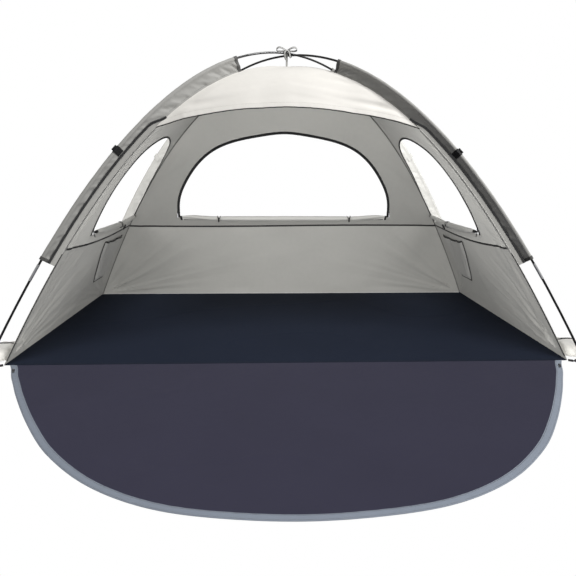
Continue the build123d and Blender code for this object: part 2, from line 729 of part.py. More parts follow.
SPOTS = {
    # name: (wall, height, along at the lowest spot, height and along 90 mm higher)
    "back_zip_left": ("back", 552.0, -650.0, 640.0, -638.5),
    "back_zip_right": ("back", 552.0, 650.0, 640.0, 638.5),
    "left_zip": ("left", 520.0, 408.0, 598.0, 381.0),
    "right_zip": ("right", 520.0, 408.0, 598.0, 381.0),
}
for name, (side, z0, a0, z1, a1) in SPOTS.items():
    p0, _, n0 = tape_spot(side, z0, a0)
    p1, _, n1 = tape_spot(side, z1, a1)
    run = p1 - p0
    t = run.normalized()
    n = (n0 - t * n0.dot(t)).normalized()
    x = t.cross(n)
    level = OUT[side].cross(Vector(0, 0, 1))
    save(zip_slider(p0, x, t, n), f"{name}_slider")
    # the pull turns about the slider's pin and hangs as low as that pin lets it
    hang = (DOWN - x * DOWN.dot(x)).normalized()
    tab, pivot = zip_pull(p0, x, t, n, hang)
    save(tab, f"{name}_pull")
    print(f"{name}: slide from", p0, "along", t, "by", run.length, "pull pivot", pivot, "axis", x, "hang to tape angle",
          degrees(hang.get_angle(t * -1) * 3.141592653589793 / 180))

for name, sx in (("door_zip_left", -1), ("door_zip_right", 1)):
    p = Vector(sx * 1130.0, Y_FRONT - 60.0, FABRIC + 0.6)
    t = Vector(sx * 0.44, 0.898, 0).normalized()
    n = Vector(0, 0, 1)
    x = t.cross(n)
    save(zip_slider(p, x, t, n), f"{name}_slider")
    drop = (t * -1 + n * -0.12).normalized()
    tab, pivot = zip_pull(p, x, t, n, drop)
    save(tab, f"{name}_pull")
    print(f"{name}: pull pivot", pivot, "axis", x)
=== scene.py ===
import json
import math

import bmesh
import bpy
import numpy as np
from mathutils import Matrix, Vector
from mathutils.geometry import delaunay_2d_cdt
from mathutils.kdtree import KDTree

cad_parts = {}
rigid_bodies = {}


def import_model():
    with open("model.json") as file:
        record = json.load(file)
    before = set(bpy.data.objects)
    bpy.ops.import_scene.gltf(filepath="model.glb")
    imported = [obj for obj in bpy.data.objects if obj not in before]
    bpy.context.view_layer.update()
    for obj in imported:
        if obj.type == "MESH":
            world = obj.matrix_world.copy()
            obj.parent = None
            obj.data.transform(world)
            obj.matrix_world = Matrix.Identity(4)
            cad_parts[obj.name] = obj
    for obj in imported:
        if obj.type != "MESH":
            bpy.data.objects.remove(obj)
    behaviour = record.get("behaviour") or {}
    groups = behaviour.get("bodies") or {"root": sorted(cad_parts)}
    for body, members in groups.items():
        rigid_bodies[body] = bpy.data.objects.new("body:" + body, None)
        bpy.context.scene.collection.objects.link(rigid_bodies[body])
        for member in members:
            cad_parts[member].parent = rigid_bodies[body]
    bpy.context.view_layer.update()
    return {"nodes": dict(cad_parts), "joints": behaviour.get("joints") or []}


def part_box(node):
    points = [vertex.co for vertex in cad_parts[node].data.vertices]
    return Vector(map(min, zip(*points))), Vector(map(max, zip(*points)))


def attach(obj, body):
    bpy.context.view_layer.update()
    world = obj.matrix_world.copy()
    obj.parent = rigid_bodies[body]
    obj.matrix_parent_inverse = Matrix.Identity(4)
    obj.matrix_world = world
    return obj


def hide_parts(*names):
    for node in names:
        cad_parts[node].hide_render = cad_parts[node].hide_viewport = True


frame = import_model()
NODES = frame["nodes"]
JOINTS = {j["name"]: j for j in frame["joints"]}
scene = bpy.context.scene

# ------------------------------------------------------------------ camera
pitch, yaw, roll = 0.2208, 0.0334, 0.0029
fwd = Vector((math.sin(yaw) * math.cos(pitch), math.cos(yaw) * math.cos(pitch), -math.sin(pitch)))
right = Vector((math.cos(yaw), -math.sin(yaw), 0))
up = right.cross(fwd)
r2 = right * math.cos(roll) + up * math.sin(roll)
u2 = right * -math.sin(roll) + up * math.cos(roll)
cam_data = bpy.data.cameras.new("camera")
cam_data.lens, cam_data.sensor_width = 32.19, 36.0
cam_data.clip_start, cam_data.clip_end = 0.05, 60
cam = bpy.data.objects.new("camera", cam_data)
scene.collection.objects.link(cam)
rot = Matrix((r2, u2, -fwd)).transposed()
cam.matrix_world = Matrix.Translation((-0.0813, -2.2219, 0.7914)) @ rot.to_4x4()
scene.camera = cam

# ------------------------------------------------------------------ sizes, metres, as in the CAD source
HW, HD, RISE = 1.2, 0.65, 1.3
YM = 0.493
YF = YM - HD
DIAG = math.hypot(HW, HD)
SEAM = 0.470
SKIN = 0.0010          # middle of the cloth, inside the outer face
CLOTH = 0.0011         # thickness shown


# ------------------------------------------------------------------ seeded noise on arrays
def _hash(i, j, seed):
    n = (i * 374761393 + j * 668265263 + seed * 974634777) & 0xFFFFFFFF
    n = ((n ^ (n >> 13)) * 1274126177) & 0xFFFFFFFF
    return ((n ^ (n >> 16)) & 0xFFFF) / 32767.5 - 1.0


def vnoise(x, y, seed=0):
    """Smooth value noise, -1 to 1, for arrays x and y."""
    x, y = np.broadcast_arrays(np.asarray(x, float), np.asarray(y, float))
    i, j = np.floor(x).astype(np.int64), np.floor(y).astype(np.int64)
    fx, fy = x - i, y - j
    fx, fy = fx ** 3 * (fx * (fx * 6 - 15) + 10), fy ** 3 * (fy * (fy * 6 - 15) + 10)
    a, b = _hash(i, j, seed), _hash(i + 1, j, seed)
    c, d = _hash(i, j + 1, seed), _hash(i + 1, j + 1, seed)
    return (a + (b - a) * fx) * (1 - fy) + (c + (d - c) * fx) * fy


def step01(v, width):
    t = np.clip(np.asarray(v, float) / width, 0, 1)
    return t * t * (3 - 2 * t)


def near(q, width):
    """0 at a seam, 1 a width away from it, fading further out."""
    t = np.maximum(q, 0) / width
    return t * np.exp(1 - t)


# ------------------------------------------------------------------ the vault: four sides of the dome
_u = np.linspace(0, 1.03, 3000)
ARC = {}
for _half in (HD, HW):
    _d, _z = _half * _u, RISE * (1 - _u * _u)
    ARC[_half] = np.concatenate([[0], np.cumsum(np.hypot(np.diff(_d), np.diff(_z)))])
SIDES = {"back": (HD, HW), "front": (HD, HW), "left": (HW, HD), "right": (HW, HD)}


def s_of_u(side, u):
    return np.interp(u, _u, ARC[SIDES[side][0]])


def u_of_s(side, s):
    return np.interp(s, ARC[SIDES[side][0]], _u)


def s_of_z(side, z):
    return s_of_u(side, np.sqrt(np.maximum(0, 1 - np.asarray(z, float) / RISE)))


def place(side, along, s, off):
    """Points on a side of the dome: along it, s down its slope from the apex, off inward from its outer face."""
    half = SIDES[side][0]
    u = u_of_s(side, s)
    d, z = half * u, RISE * (1 - u * u)
    nd = 2 * RISE * d / half ** 2
    n = np.sqrt(nd * nd + 1)
    d, z = d - off * nd / n, z - off / n
    along = np.broadcast_to(along, d.shape)
    if side == "back":
        return np.stack([along, YM + d, z], -1)
    if side == "front":
        return np.stack([along, YM - d, z], -1)
    sx = -1 if side == "left" else 1
    return np.stack([sx * d, YM + along, z], -1)


def spline(points, n):
    """n points on the cubic curve through the given ones, evenly spaced."""
    p = np.asarray(points, float)
    t = np.concatenate([[0], np.cumsum(np.linalg.norm(np.diff(p, axis=0), axis=1))])
    m = len(p)
    h = np.diff(t)
    a = np.zeros((m, m))
    b = np.zeros((m, p.shape[1]))
    a[0, 0] = a[-1, -1] = 1
    for i in range(1, m - 1):
        a[i, i - 1], a[i, i], a[i, i + 1] = h[i - 1], 2 * (h[i - 1] + h[i]), h[i]
        b[i] = 6 * ((p[i + 1] - p[i]) / h[i] - (p[i] - p[i - 1]) / h[i - 1])
    k = np.linalg.solve(a, b)
    q = np.linspace(0, t[-1], max(8 * m, 4 * n))
    i = np.clip(np.searchsorted(t, q, side="right") - 1, 0, m - 2)
    w = ((q - t[i]) / h[i])[:, None]
    hh = h[i][:, None] ** 2 / 6
    c = (1 - w) * p[i] + w * p[i + 1] + hh * (((1 - w) ** 3 - (1 - w)) * k[i] + (w ** 3 - w) * k[i + 1])
    return even(c, n)


def even(points, n):
    p = np.asarray(points, float)
    t = np.concatenate([[0], np.cumsum(np.linalg.norm(np.diff(p, axis=0), axis=1))])
    q = np.linspace(0, t[-1], n)
    return np.stack([np.interp(q, t, p[:, k]) for k in range(p.shape[1])], -1)


def length_of(points):
    return float(np.linalg.norm(np.diff(np.asarray(points), axis=0), axis=1).sum())


def offset2(points, grow):
    """Moves an open run of 2-D points to its left by grow."""
    p = np.asarray(points, float)
    t = np.gradient(p, axis=0)
    t /= np.linalg.norm(t, axis=1)[:, None]
    return p + np.stack([t[:, 1], -t[:, 0]], -1) * (-grow)


BACK_HALF = [(640, 521), (630, 626), (574, 744), (490, 848), (400, 915), (283, 960), (141, 988), (0, 1003)]
BACK_PTS = BACK_HALF + [(-x, z) for x, z in BACK_HALF[-2::-1]]
SIDE_PTS = [(1140, 497), (1122, 600), (1050, 740), (985, 845), (890, 925), (770, 957), (640, 960), (530, 928),
            (440, 865), (396, 765), (384, 660), (400, 570), (425, 497)]
WINDOW = {}   # outline of each window on the unrolled side, from its first low corner over the top to the other
for _side in ("back", "left", "right"):
    if _side == "back":
        _c = spline(np.array(BACK_PTS) / 1000, 420)
    else:
        _c = spline(np.array(SIDE_PTS) / 1000, 330)
        _c[:, 0] -= HD
    WINDOW[_side] = np.stack([_c[:, 0], s_of_z(_side, _c[:, 1])], -1)


def seg_distance(points, line, chunk=4000):
    """Distance from each 2-D point to a polyline, and the length along the line of its nearest point."""
    p, a, b = np.asarray(points), line[:-1], line[1:]
    d = b - a
    dd = np.maximum((d * d).sum(1), 1e-12)
    at = np.concatenate([[0], np.cumsum(np.sqrt(dd))])[:-1]
    dist, along = np.empty(len(p)), np.empty(len(p))
    for i in range(0, len(p), chunk):
        q = p[i:i + chunk]
        t = np.clip(((q[:, None] - a) * d).sum(2) / dd, 0, 1)
        r = np.linalg.norm(q[:, None] - a - t[..., None] * d, axis=2)
        k = r.argmin(1)
        row = np.arange(len(q))
        dist[i:i + chunk] = r[row, k]
        along[i:i + chunk] = at[k] + t[row, k] * np.sqrt(dd[k])
    return dist, along


def inside(points, poly):
    p, q = np.asarray(points), np.asarray(poly)
    a, b = q, np.roll(q, -1, 0)
    hit = np.zeros(len(p), bool)
    for (ax, ay), (bx, by) in zip(a, b):
        if ay == by:
            continue
        c = (ay > p[:, 1]) != (by > p[:, 1])
        hit ^= c & (p[:, 0] < (bx - ax) * (p[:, 1] - ay) / (by - ay) + ax)
    return hit


WIN_COARSE = {k: np.concatenate([even(v, 90), v[:1]]) for k, v in WINDOW.items()}


def seam_z(side, along):
    """Height of the seam between the lower and the upper wall, which sags between the corners of the short sides."""
    if side == "back":
        return SEAM + 0.004 * np.sin(np.asarray(along) * 3.1) - 0.004
    return SEAM - 0.024 * np.cos(np.clip(np.asarray(along) / (HD * 0.8), -1, 1) * math.pi / 2)


def sag(side, along, s):
    """How far the cloth of a side is pushed inward from its plain curve: tension folds, puckers and slack."""
    along, s = np.broadcast_arrays(np.asarray(along, float), np.asarray(s, float))
    shape = along.shape
    x, s = along.ravel(), s.ravel()
    half, other = SIDES[side]
    u = u_of_s(side, s)
    z = RISE * (1 - u * u)
    ground = float(s_of_u(side, 1.0))
    lat = other * u - np.abs(x)                     # to the nearer corner seam
    q = lat * 0.80                                  # roughly square to that seam
    edge = step01(q, 0.055)
    foot = step01(ground - s, 0.05)
    seed = {"back": 11, "front": 23, "left": 37, "right": 53}[side]
    if side in WINDOW:
        wd, wt = seg_distance(np.stack([x, s], -1), WIN_COARSE[side])
    else:
        wd, wt = np.full(len(x), 1.0), np.zeros(len(x))
    win = step01(wd - 0.022, 0.11)
    out = 0.0046 * vnoise(x * 3.1 + 5, s * 3.4, seed) * win
    out += 0.0019 * vnoise(x * 9 + s * 3, s * 7, seed + 1) * win
    # creases that run out of the corners at the ground
    for cx, amp, reach, fine in (((-other, 0.0125 if side == "back" else 0.0080, 0.40, 12.5), (other, 0.0115 if side == "back" else 0.0080, 0.38, 11.5)) if side != "front" else ()):
        dx, dy = (x - cx) * np.sign(-cx), ground - s
        r = np.hypot(dx, dy) + 1e-6
        th = np.arctan2(dy, dx)
        c = vnoise(th * fine + 3, r * 1.1, seed + 2) + 0.45 * vnoise(th * fine * 2.3, r * 2.0 + 7, seed + 3)
        sharp = np.sign(c) * np.abs(c) ** 0.8
        out += amp * sharp * np.exp(-r / reach) * step01(r, 0.10) * win
        c = vnoise(th * fine * 2.6 + 11, r * 1.6, seed + 13)
        out += 0.26 * amp * np.sign(c) * np.abs(c) ** 0.75 * np.exp(-r / (reach * 0.7)) * step01(r, 0.12) * win
    # puckers beside the corner seams
    out += 0.0016 * near(q, 0.016) * vnoise(u * 46, q * 9, seed + 4) * (0.4 + 0.6 * step01(1 - u, 0.3))
    # slack folds beside the sleeves, nearly square to them
    if side in ("left", "right", "back"):
        out += 0.0030 * near(q, 0.05) * vnoise(u * 17 + q * 14, q * 3, seed + 5) * step01(0.95 - u, 0.1)
    if side != "front":
        # along the level seam
        qs = np.abs(s - s_of_z(side, seam_z(side, x)))
        out += 0.0009 * np.exp(-qs / 0.020) * vnoise(x * 52, s * 4, seed + 6)
        out += 0.0024 * np.exp(-qs / 0.08) * vnoise(x * 15 + s * 5, s * 5, seed + 7) * win
        # at the ground seam
        out += 0.0013 * near(ground - s, 0.016) * vnoise(x * 40, s * 5, seed + 8)
        # round the window
        out += 0.0007 * near(wd - 0.012, 0.016) * vnoise(wt * 44, wd * 8, seed + 9)
    if side in ("left", "right"):
        # upright folds inside the front edge
        front = (other * u + x) * 0.80
        low = step01(SEAM + 0.10 - z, 0.25)
        out += 0.0068 * low * np.exp(-front / 0.15) * vnoise(front * 30 + 1.7, z * 2.2, seed + 10) * step01(front, 0.03)
        out += 0.0022 * low * vnoise(x * 9 + 2, z * 1.6, seed + 12) * step01(front, 0.1) * win
        # the pocket's wall stays close to its curve
        y = x + HD
        pocket = step01(0.06 - np.maximum(np.abs(y - 0.92) - 0.16, 0), 0.06) * step01(0.06 - np.maximum(np.abs(z - 0.29) - 0.13, 0), 0.06)
        out *= 1 - 0.75 * pocket
    if side == "back":
        low = step01(SEAM - z, 0.2)
        out += 0.0016 * low * vnoise(x * 6.5 + z * 4, z * 2.5, seed + 11) * win
    if side == "front":
        edge_d = arch_gap(x, half * u)
        # creases that leave the sleeves near the lower corners of the panel, and gathers over the hem
        out += 0.0068 * np.exp(-q / 0.17) * step01(q, 0.03) * vnoise(s * 34 + x * np.sign(x) * -7, q * 3.2, seed + 5) * step01(u - 0.16, 0.12)
        out += 0.0016 * np.exp(-edge_d / 0.035) * vnoise(x * 17, edge_d * 9, seed + 6)
        out += 0.0007 * np.exp(-edge_d / 0.014) * vnoise(x * 60, edge_d * 20, seed + 7)
        out += 0.0036 * vnoise(x * 2.2, s * 6 + 3, seed + 8) * step01(q, 0.12) * step01(edge_d, 0.05)
    out *= edge * (foot if side != "front" else 1)
    if side in WINDOW:
        reach = step01(0.67 - np.abs(x), 0.04) if side == "back" else step01(0.37 - np.abs(x + HD - 0.785), 0.04)
        out *= 1 - 0.8 * reach * np.exp(-((z - 0.485) / 0.040) ** 2)
    return out.reshape(shape)


# plan arc of the front panel's lower edge: distance ahead of the middle as a function of x
_p, _q = (HW * 0.492, HD * 0.492), (0.0, HD * 0.412)
_k = ((_p[0] ** 2) / (_p[1] - _q[1]) + (_p[1] - _q[1])) / 2      # radius
ARCH_R, ARCH_C = _k, _q[1] + _k                                   # the arc bows towards the middle


def arch_d(x):
    return ARCH_C - np.sqrt(ARCH_R ** 2 - np.asarray(x) ** 2)


def arch_gap(x, d):
    """Distance on the slope from the front panel's lower edge."""
    return np.abs(arch_d(np.clip(x, -0.62, 0.62)) - d) * 1.35


# ------------------------------------------------------------------ meshes
def make(name, verts, faces, mat, body="root", uv=None, sharp=50, smooth=True):
    me = bpy.data.meshes.new(name)
    me.from_pydata([tuple(v) for v in verts], [], [tuple(int(i) for i in f) for f in faces])
    me.validate()
    bm = bmesh.new()
    bm.from_mesh(me)
    bmesh.ops.recalc_face_normals(bm, faces=bm.faces)     # every shell faces outward
    bm.to_mesh(me)
    bm.free()
    if smooth:
        me.polygons.foreach_set("use_smooth", np.ones(len(me.polygons), bool))
        if sharp:
            me.set_sharp_from_angle(angle=math.radians(sharp))
    if uv is not None:
        layer = me.uv_layers.new(name="cloth")
        idx = np.empty(len(me.loops), np.int32)
        me.loops.foreach_get("vertex_index", idx)
        layer.data.foreach_set("uv", np.asarray(uv, np.float32)[idx].ravel())
    me.materials.append(mat)
    o = bpy.data.objects.new(name, me)
    scene.collection.objects.link(o)
    if body:
        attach(o, body)
    return o


def vertex_normals(v, f):
    n = np.zeros_like(v)
    for k in range(1, f.shape[1] - 1):
        a = np.cross(v[f[:, k]] - v[f[:, 0]], v[f[:, k + 1]] - v[f[:, 0]])
        for c in (0, k, k + 1):
            np.add.at(n, f[:, c], a)
    return n / np.maximum(np.linalg.norm(n, axis=1), 1e-15)[:, None]


def thicken(v, f, t, uv=None):
    """Closed sheet of thickness t about the open mesh v, f."""
    v, f = np.asarray(v, float), np.asarray(f, np.int64)
    n = vertex_normals(v, f)
    m = len(v)
    vv = np.concatenate([v + n * t / 2, v - n * t / 2])
    sides = [np.stack([f[:, k], f[:, (k + 1) % f.shape[1]]], -1) for k in range(f.shape[1])]
    e = np.concatenate(sides)
    key = np.sort(e, 1) @ np.array([m + 1, 1])
    _, first, count = np.unique(key, return_index=True, return_counts=True)
    rim = e[first[count == 1]]
    faces = [tuple(r) for r in f] + [tuple(r[::-1] + m) for r in f] + [(b, a, a + m, b + m) for a, b in rim]
    return vv, faces, None if uv is None else np.concatenate([uv, uv])


def grid_faces(rows, cols, wrap=False, start=0):
    i, j = np.meshgrid(np.arange(rows - 1), np.arange(cols if wrap else cols - 1), indexing="ij")
    a = i * cols + j
    b = i * cols + (j + 1) % cols
    return (np.stack([a, b, b + cols, a + cols], -1).reshape(-1, 4) + start)


def tube(points, normal_hint, section, closed_ends=True):
    """Sweeps a closed 2-D section (side, out) along points. normal_hint is the 'out' direction, one or one per point."""
    p = np.asarray(points, float)
    t = np.gradient(p, axis=0)
    t /= np.linalg.norm(t, axis=1)[:, None]
    n = np.broadcast_to(np.asarray(normal_hint, float), p.shape)
    n = n - (n * t).sum(1)[:, None] * t
    n /= np.linalg.norm(n, axis=1)[:, None]
    b = np.cross(t, n)
    sec = np.asarray(section, float)
    if sec.ndim == 2:
        sec = np.broadcast_to(sec, (len(p),) + sec.shape)
    v = p[:, None] + sec[..., :1] * b[:, None] + sec[..., 1:] * n[:, None]
    k = sec.shape[1]
    f = [tuple(r) for r in grid_faces(len(p), k, wrap=True)]
    if closed_ends:
        f += [tuple(range(k))[::-1], tuple((len(p) - 1) * k + np.arange(k))]
    return v.reshape(-1, 3), f


def flat_section(w, t, r=None, n=3):
    """Rounded flat strip, w wide and t thick, centred."""
    r = min(t / 2, r or t / 2)
    pts = []
    for cx, cy, a0 in ((w / 2 - r, t / 2 - r, 0), (-w / 2 + r, t / 2 - r, 90), (-w / 2 + r, -t / 2 + r, 180), (w / 2 - r, -t / 2 + r, 270)):
        for k in range(n):
            a = math.radians(a0 + 90 * k / (n - 1))
            pts.append((cx + r * math.cos(a), cy + r * math.sin(a)))
    return np.array(pts)


def round_section(r, n=10):
    a = np.linspace(0, 2 * math.pi, n, endpoint=False)
    return np.stack([np.cos(a), np.sin(a)], -1) * r


def merge(parts):
    """One mesh from several (verts, faces)."""
    vs, fs, n = [], [], 0
    for v, f in parts:
        vs.append(np.asarray(v))
        fs += [tuple(int(i) + n for i in r) for r in f]
        n += len(v)
    return np.concatenate(vs), fs


def stitch_mesh(points, normals, pitch=0.0042, size=(0.0030, 0.0009, 0.0006), lift=0.0002):
    """A row of thread stitches along points."""
    p = np.asarray(points, float)
    n = max(4, int(length_of(p) / pitch))
    q = even(np.concatenate([p, np.broadcast_to(normals, p.shape)], 1), 2 * n + 1)
    # even() spaced by all six columns; close enough for stitches, and normals come along
    a, nn = q[:, :3], q[:, 3:]
    nn = nn / np.linalg.norm(nn, axis=1)[:, None]
    c, t = a[1::2], a[2::2] - a[:-2:2]
    t = t / np.maximum(np.linalg.norm(t, axis=1), 1e-9)[:, None]
    m = nn[1::2]
    b = np.cross(t, m)
    l, w, h = size
    c = c + m * lift
    v = np.stack([c - t * l / 2, c - t * l / 5 + b * w / 2, c - t * l / 5 - b * w / 2, c - t * l / 5 + m * h,
                  c + t * l / 5 + b * w / 2, c + t * l / 5 - b * w / 2, c + t * l / 5 + m * h, c + t * l / 2], 1)
    face = [(0, 3, 1), (0, 2, 3), (0, 1, 2), (1, 3, 6, 4), (3, 2, 5, 6), (2, 1, 4, 5), (7, 4, 6), (7, 6, 5), (7, 5, 4)]
    f = [tuple(i + 8 * k for i in r) for k in range(len(c)) for r in face]
    return v.reshape(-1, 3), f


def fill(outline, holes, step):
    """Triangles over a 2-D outline with holes: an even staggered grid that meets the edges."""
    loops = [np.asarray(outline)] + [np.asarray(h) for h in holes]
    loops = [even(np.concatenate([l, l[:1]]), max(8, int(length_of(np.concatenate([l, l[:1]])) / step)))[:-1] for l in loops]
    return fill_exact(loops, step)


def fill_exact(loops, step):
    lo, hi = loops[0].min(0), loops[0].max(0)
    xs = np.arange(lo[0], hi[0], step)
    ys = np.arange(lo[1], hi[1], step * 0.866)
    g = np.stack(np.meshgrid(xs, ys), -1)
    g[1::2, :, 0] += step / 2
    g = g.reshape(-1, 2)
    keep = inside(g, loops[0])
    for h in loops[1:]:
        keep &= ~inside(g, h)
    g = g[keep]
    rim = np.concatenate(loops)
    tree = KDTree(len(rim))
    for i, p in enumerate(rim):
        tree.insert((p[0], p[1], 0), i)
    tree.balance()
    far = np.array([tree.find((p[0], p[1], 0))[2] > step * 0.62 for p in g], bool)
    g = g[far]
    pts = np.concatenate([rim, g])
    edges, at = [], 0
    for l in loops:
        n = len(l)
        edges += [(at + i, at + (i + 1) % n) for i in range(n)]
        at += n
    v, _, f, *_ = delaunay_2d_cdt([Vector(p) for p in pts], edges, [], 0, 1e-8)
    v = np.array([tuple(p) for p in v])
    f = np.array([tuple(t) for t in f if len(t) == 3])
    c = v[f].mean(1)
    keep = inside(c, loops[0])
    for h in loops[1:]:
        keep &= ~inside(c, h)
    f = f[keep]
    used = np.unique(f)
    back = -np.ones(len(v), int)
    back[used] = np.arange(len(used))
    return v[used], back[f]


def flip_to(v, f, direction_point):
    """Turns the faces so that they look at a point."""
    a, b, c = v[f[:, 0]], v[f[:, 1]], v[f[:, 2]]
    n = np.cross(b - a, c - a)
    if ((np.asarray(direction_point) - a) * n).sum() < 0:
        f = f[:, ::-1]
    return f


# ------------------------------------------------------------------ materials
def new_mat(name):
    m = bpy.data.materials.new(name)
    m.use_nodes = True
    nt = m.node_tree
    return m, nt, nt.nodes["Principled BSDF"]


def node(nt, kind, **kw):
    n = nt.nodes.new(kind)
    for k, v in kw.items():
        if k in n.inputs:
            n.inputs[k].default_value = v
        else:
            setattr(n, k, v)
    return n


def ramp(nt, src, stops):
    r = nt.nodes.new("ShaderNodeValToRGB")
    r.color_ramp.elements[0].position, r.color_ramp.elements[0].color = stops[0][0], (*stops[0][1], 1)
    r.color_ramp.elements[1].position, r.color_ramp.elements[1].color = stops[-1][0], (*stops[-1][1], 1)
    for pos, col in stops[1:-1]:
        e = r.color_ramp.elements.new(pos)
        e.color = (*col, 1)
    nt.links.new(src, r.inputs["Fac"])
    return r


def math_node(nt, op, a, b=None, c=None):
    n = nt.nodes.new("ShaderNodeMath")
    n.operation = op
    for i, v in enumerate((a, b, c)):
        if v is None:
            continue
        if isinstance(v, (int, float)):
            n.inputs[i].default_value = v
        else:
            nt.links.new(v, n.inputs[i])
    return n.outputs[0]


def srgb(r, g, b):
    def f(c):
        c /= 255
        return c / 12.92 if c <= 0.04045 else ((c + 0.055) / 1.055) ** 2.4
    return tuple(f(c) for c in (r, g, b))


def fabric(name, colour, thread=0.0007, bump=0.25, rough=(0.55, 0.72), sheen=0.15, vary=0.05, coords="UV",
           translucent=0.0, rip=0.0, slub=0.08, spec=0.3):
    """Woven cloth: over-and-under threads, slubs, slow changes of shade and, if rip, a reinforcing grid."""
    m, nt, bsdf = new_mat(name)
    tc = nt.nodes.new("ShaderNodeTexCoord")
    src = tc.outputs[coords]
    sep = node(nt, "ShaderNodeSeparateXYZ")
    nt.links.new(src, sep.inputs[0])
    freq = 2 * math.pi / thread
    wx = math_node(nt, "SINE", math_node(nt, "MULTIPLY", sep.outputs[0], freq))
    wy = math_node(nt, "SINE", math_node(nt, "MULTIPLY", sep.outputs[1], freq))
    cross = math_node(nt, "MULTIPLY", wx, wy)
    over = math_node(nt, "ABSOLUTE", cross)
    slub_n = node(nt, "ShaderNodeTexNoise", Scale=420.0, Detail=3.0)
    big = node(nt, "ShaderNodeTexNoise", Scale=3.2, Detail=4.0)
    mid = node(nt, "ShaderNodeTexNoise", Scale=38.0, Detail=3.0)
    for n in (slub_n, big, mid):
        nt.links.new(src, n.inputs["Vector"])
    tone = math_node(nt, "ADD", math_node(nt, "MULTIPLY", big.outputs[0], 0.55), math_node(nt, "MULTIPLY", mid.outputs[0], 0.25))
    tone = math_node(nt, "ADD", tone, math_node(nt, "MULTIPLY", slub_n.outputs[0], slub * 2.2))
    tone = math_node(nt, "ADD", tone, math_node(nt, "MULTIPLY", over, 0.05))
    c = np.array(colour)
    r = ramp(nt, tone, [(0.25, tuple(c * (1 - vary * 1.6))), (0.5, tuple(c)), (0.8, tuple(np.minimum(c * (1 + vary * 1.3), 0.95)))])
    colour_out = r.outputs[0]
    height = math_node(nt, "ADD", math_node(nt, "MULTIPLY", over, 0.6), math_node(nt, "MULTIPLY", slub_n.outputs[0], 0.5))
    if rip:
        fr = 2 * math.pi / rip
        gx = math_node(nt, "POWER", math_node(nt, "ABSOLUTE", math_node(nt, "SINE", math_node(nt, "MULTIPLY", sep.outputs[0], fr / 2))), 60.0)
        gy = math_node(nt, "POWER", math_node(nt, "ABSOLUTE", math_node(nt, "SINE", math_node(nt, "MULTIPLY", sep.outputs[1], fr / 2))), 60.0)
        height = math_node(nt, "ADD", height, math_node(nt, "MULTIPLY", math_node(nt, "MAXIMUM", gx, gy), 0.7))
    b = node(nt, "ShaderNodeBump", Strength=bump, Distance=0.0004)
    nt.links.new(height, b.inputs["Height"])
    nt.links.new(b.outputs[0], bsdf.inputs["Normal"])
    nt.links.new(colour_out, bsdf.inputs["Base Color"])
    rr = node(nt, "ShaderNodeMapRange")
    rr.inputs["To Min"].default_value, rr.inputs["To Max"].default_value = rough
    nt.links.new(mid.outputs[0], rr.inputs[0])
    nt.links.new(rr.outputs[0], bsdf.inputs["Roughness"])
    bsdf.inputs["Sheen Weight"].default_value = sheen
    bsdf.inputs["Sheen Roughness"].default_value = 0.4
    bsdf.inputs["Specular IOR Level"].default_value = spec
    if translucent:
        tr = nt.nodes.new("ShaderNodeBsdfTranslucent")
        nt.links.new(colour_out, tr.inputs["Color"])
        nt.links.new(b.outputs[0], tr.inputs["Normal"])
        mix = nt.nodes.new("ShaderNodeMixShader")
        mix.inputs[0].default_value = translucent
        nt.links.new(bsdf.outputs[0], mix.inputs[1])
        nt.links.new(tr.outputs[0], mix.inputs[2])
        nt.links.new(mix.outputs[0], nt.nodes["Material Output"].inputs["Surface"])
    return m


def webbing(name, colour, pitch=0.0016, rough=(0.6, 0.8), bump=0.6, vary=0.12, sheen=0.1):
    """Narrow woven tape: coarse chevron ribs."""
    m, nt, bsdf = new_mat(name)
    tc = nt.nodes.new("ShaderNodeTexCoord")
    src = tc.outputs["Object"]
    sep = node(nt, "ShaderNodeSeparateXYZ")
    nt.links.new(src, sep.inputs[0])
    f = 2 * math.pi / pitch
    a = math_node(nt, "SINE", math_node(nt, "MULTIPLY", math_node(nt, "ADD", sep.outputs[0], sep.outputs[2]), f))
    b = math_node(nt, "SINE", math_node(nt, "MULTIPLY", math_node(nt, "SUBTRACT", sep.outputs[1], sep.outputs[2]), f))
    h = math_node(nt, "ABSOLUTE", math_node(nt, "MULTIPLY", a, b))
    noise = node(nt, "ShaderNodeTexNoise", Scale=90.0, Detail=4.0)
    nt.links.new(src, noise.inputs["Vector"])
    tone = math_node(nt, "ADD", math_node(nt, "MULTIPLY", noise.outputs[0], 0.7), math_node(nt, "MULTIPLY", h, 0.25))
    c = np.array(colour)
    r = ramp(nt, tone, [(0.2, tuple(c * (1 - vary * 2))), (0.5, tuple(c)), (0.85, tuple(np.minimum(c * (1 + vary * 3), 0.95)))])
    nt.links.new(r.outputs[0], bsdf.inputs["Base Color"])
    bm = node(nt, "ShaderNodeBump", Strength=bump, Distance=0.0005)
    nt.links.new(h, bm.inputs["Height"])
    nt.links.new(bm.outputs[0], bsdf.inputs["Normal"])
    rr = node(nt, "ShaderNodeMapRange")
    rr.inputs["To Min"].default_value, rr.inputs["To Max"].default_value = rough
    nt.links.new(noise.outputs[0], rr.inputs[0])
    nt.links.new(rr.outputs[0], bsdf.inputs["Roughness"])
    bsdf.inputs["Sheen Weight"].default_value = sheen
    return m


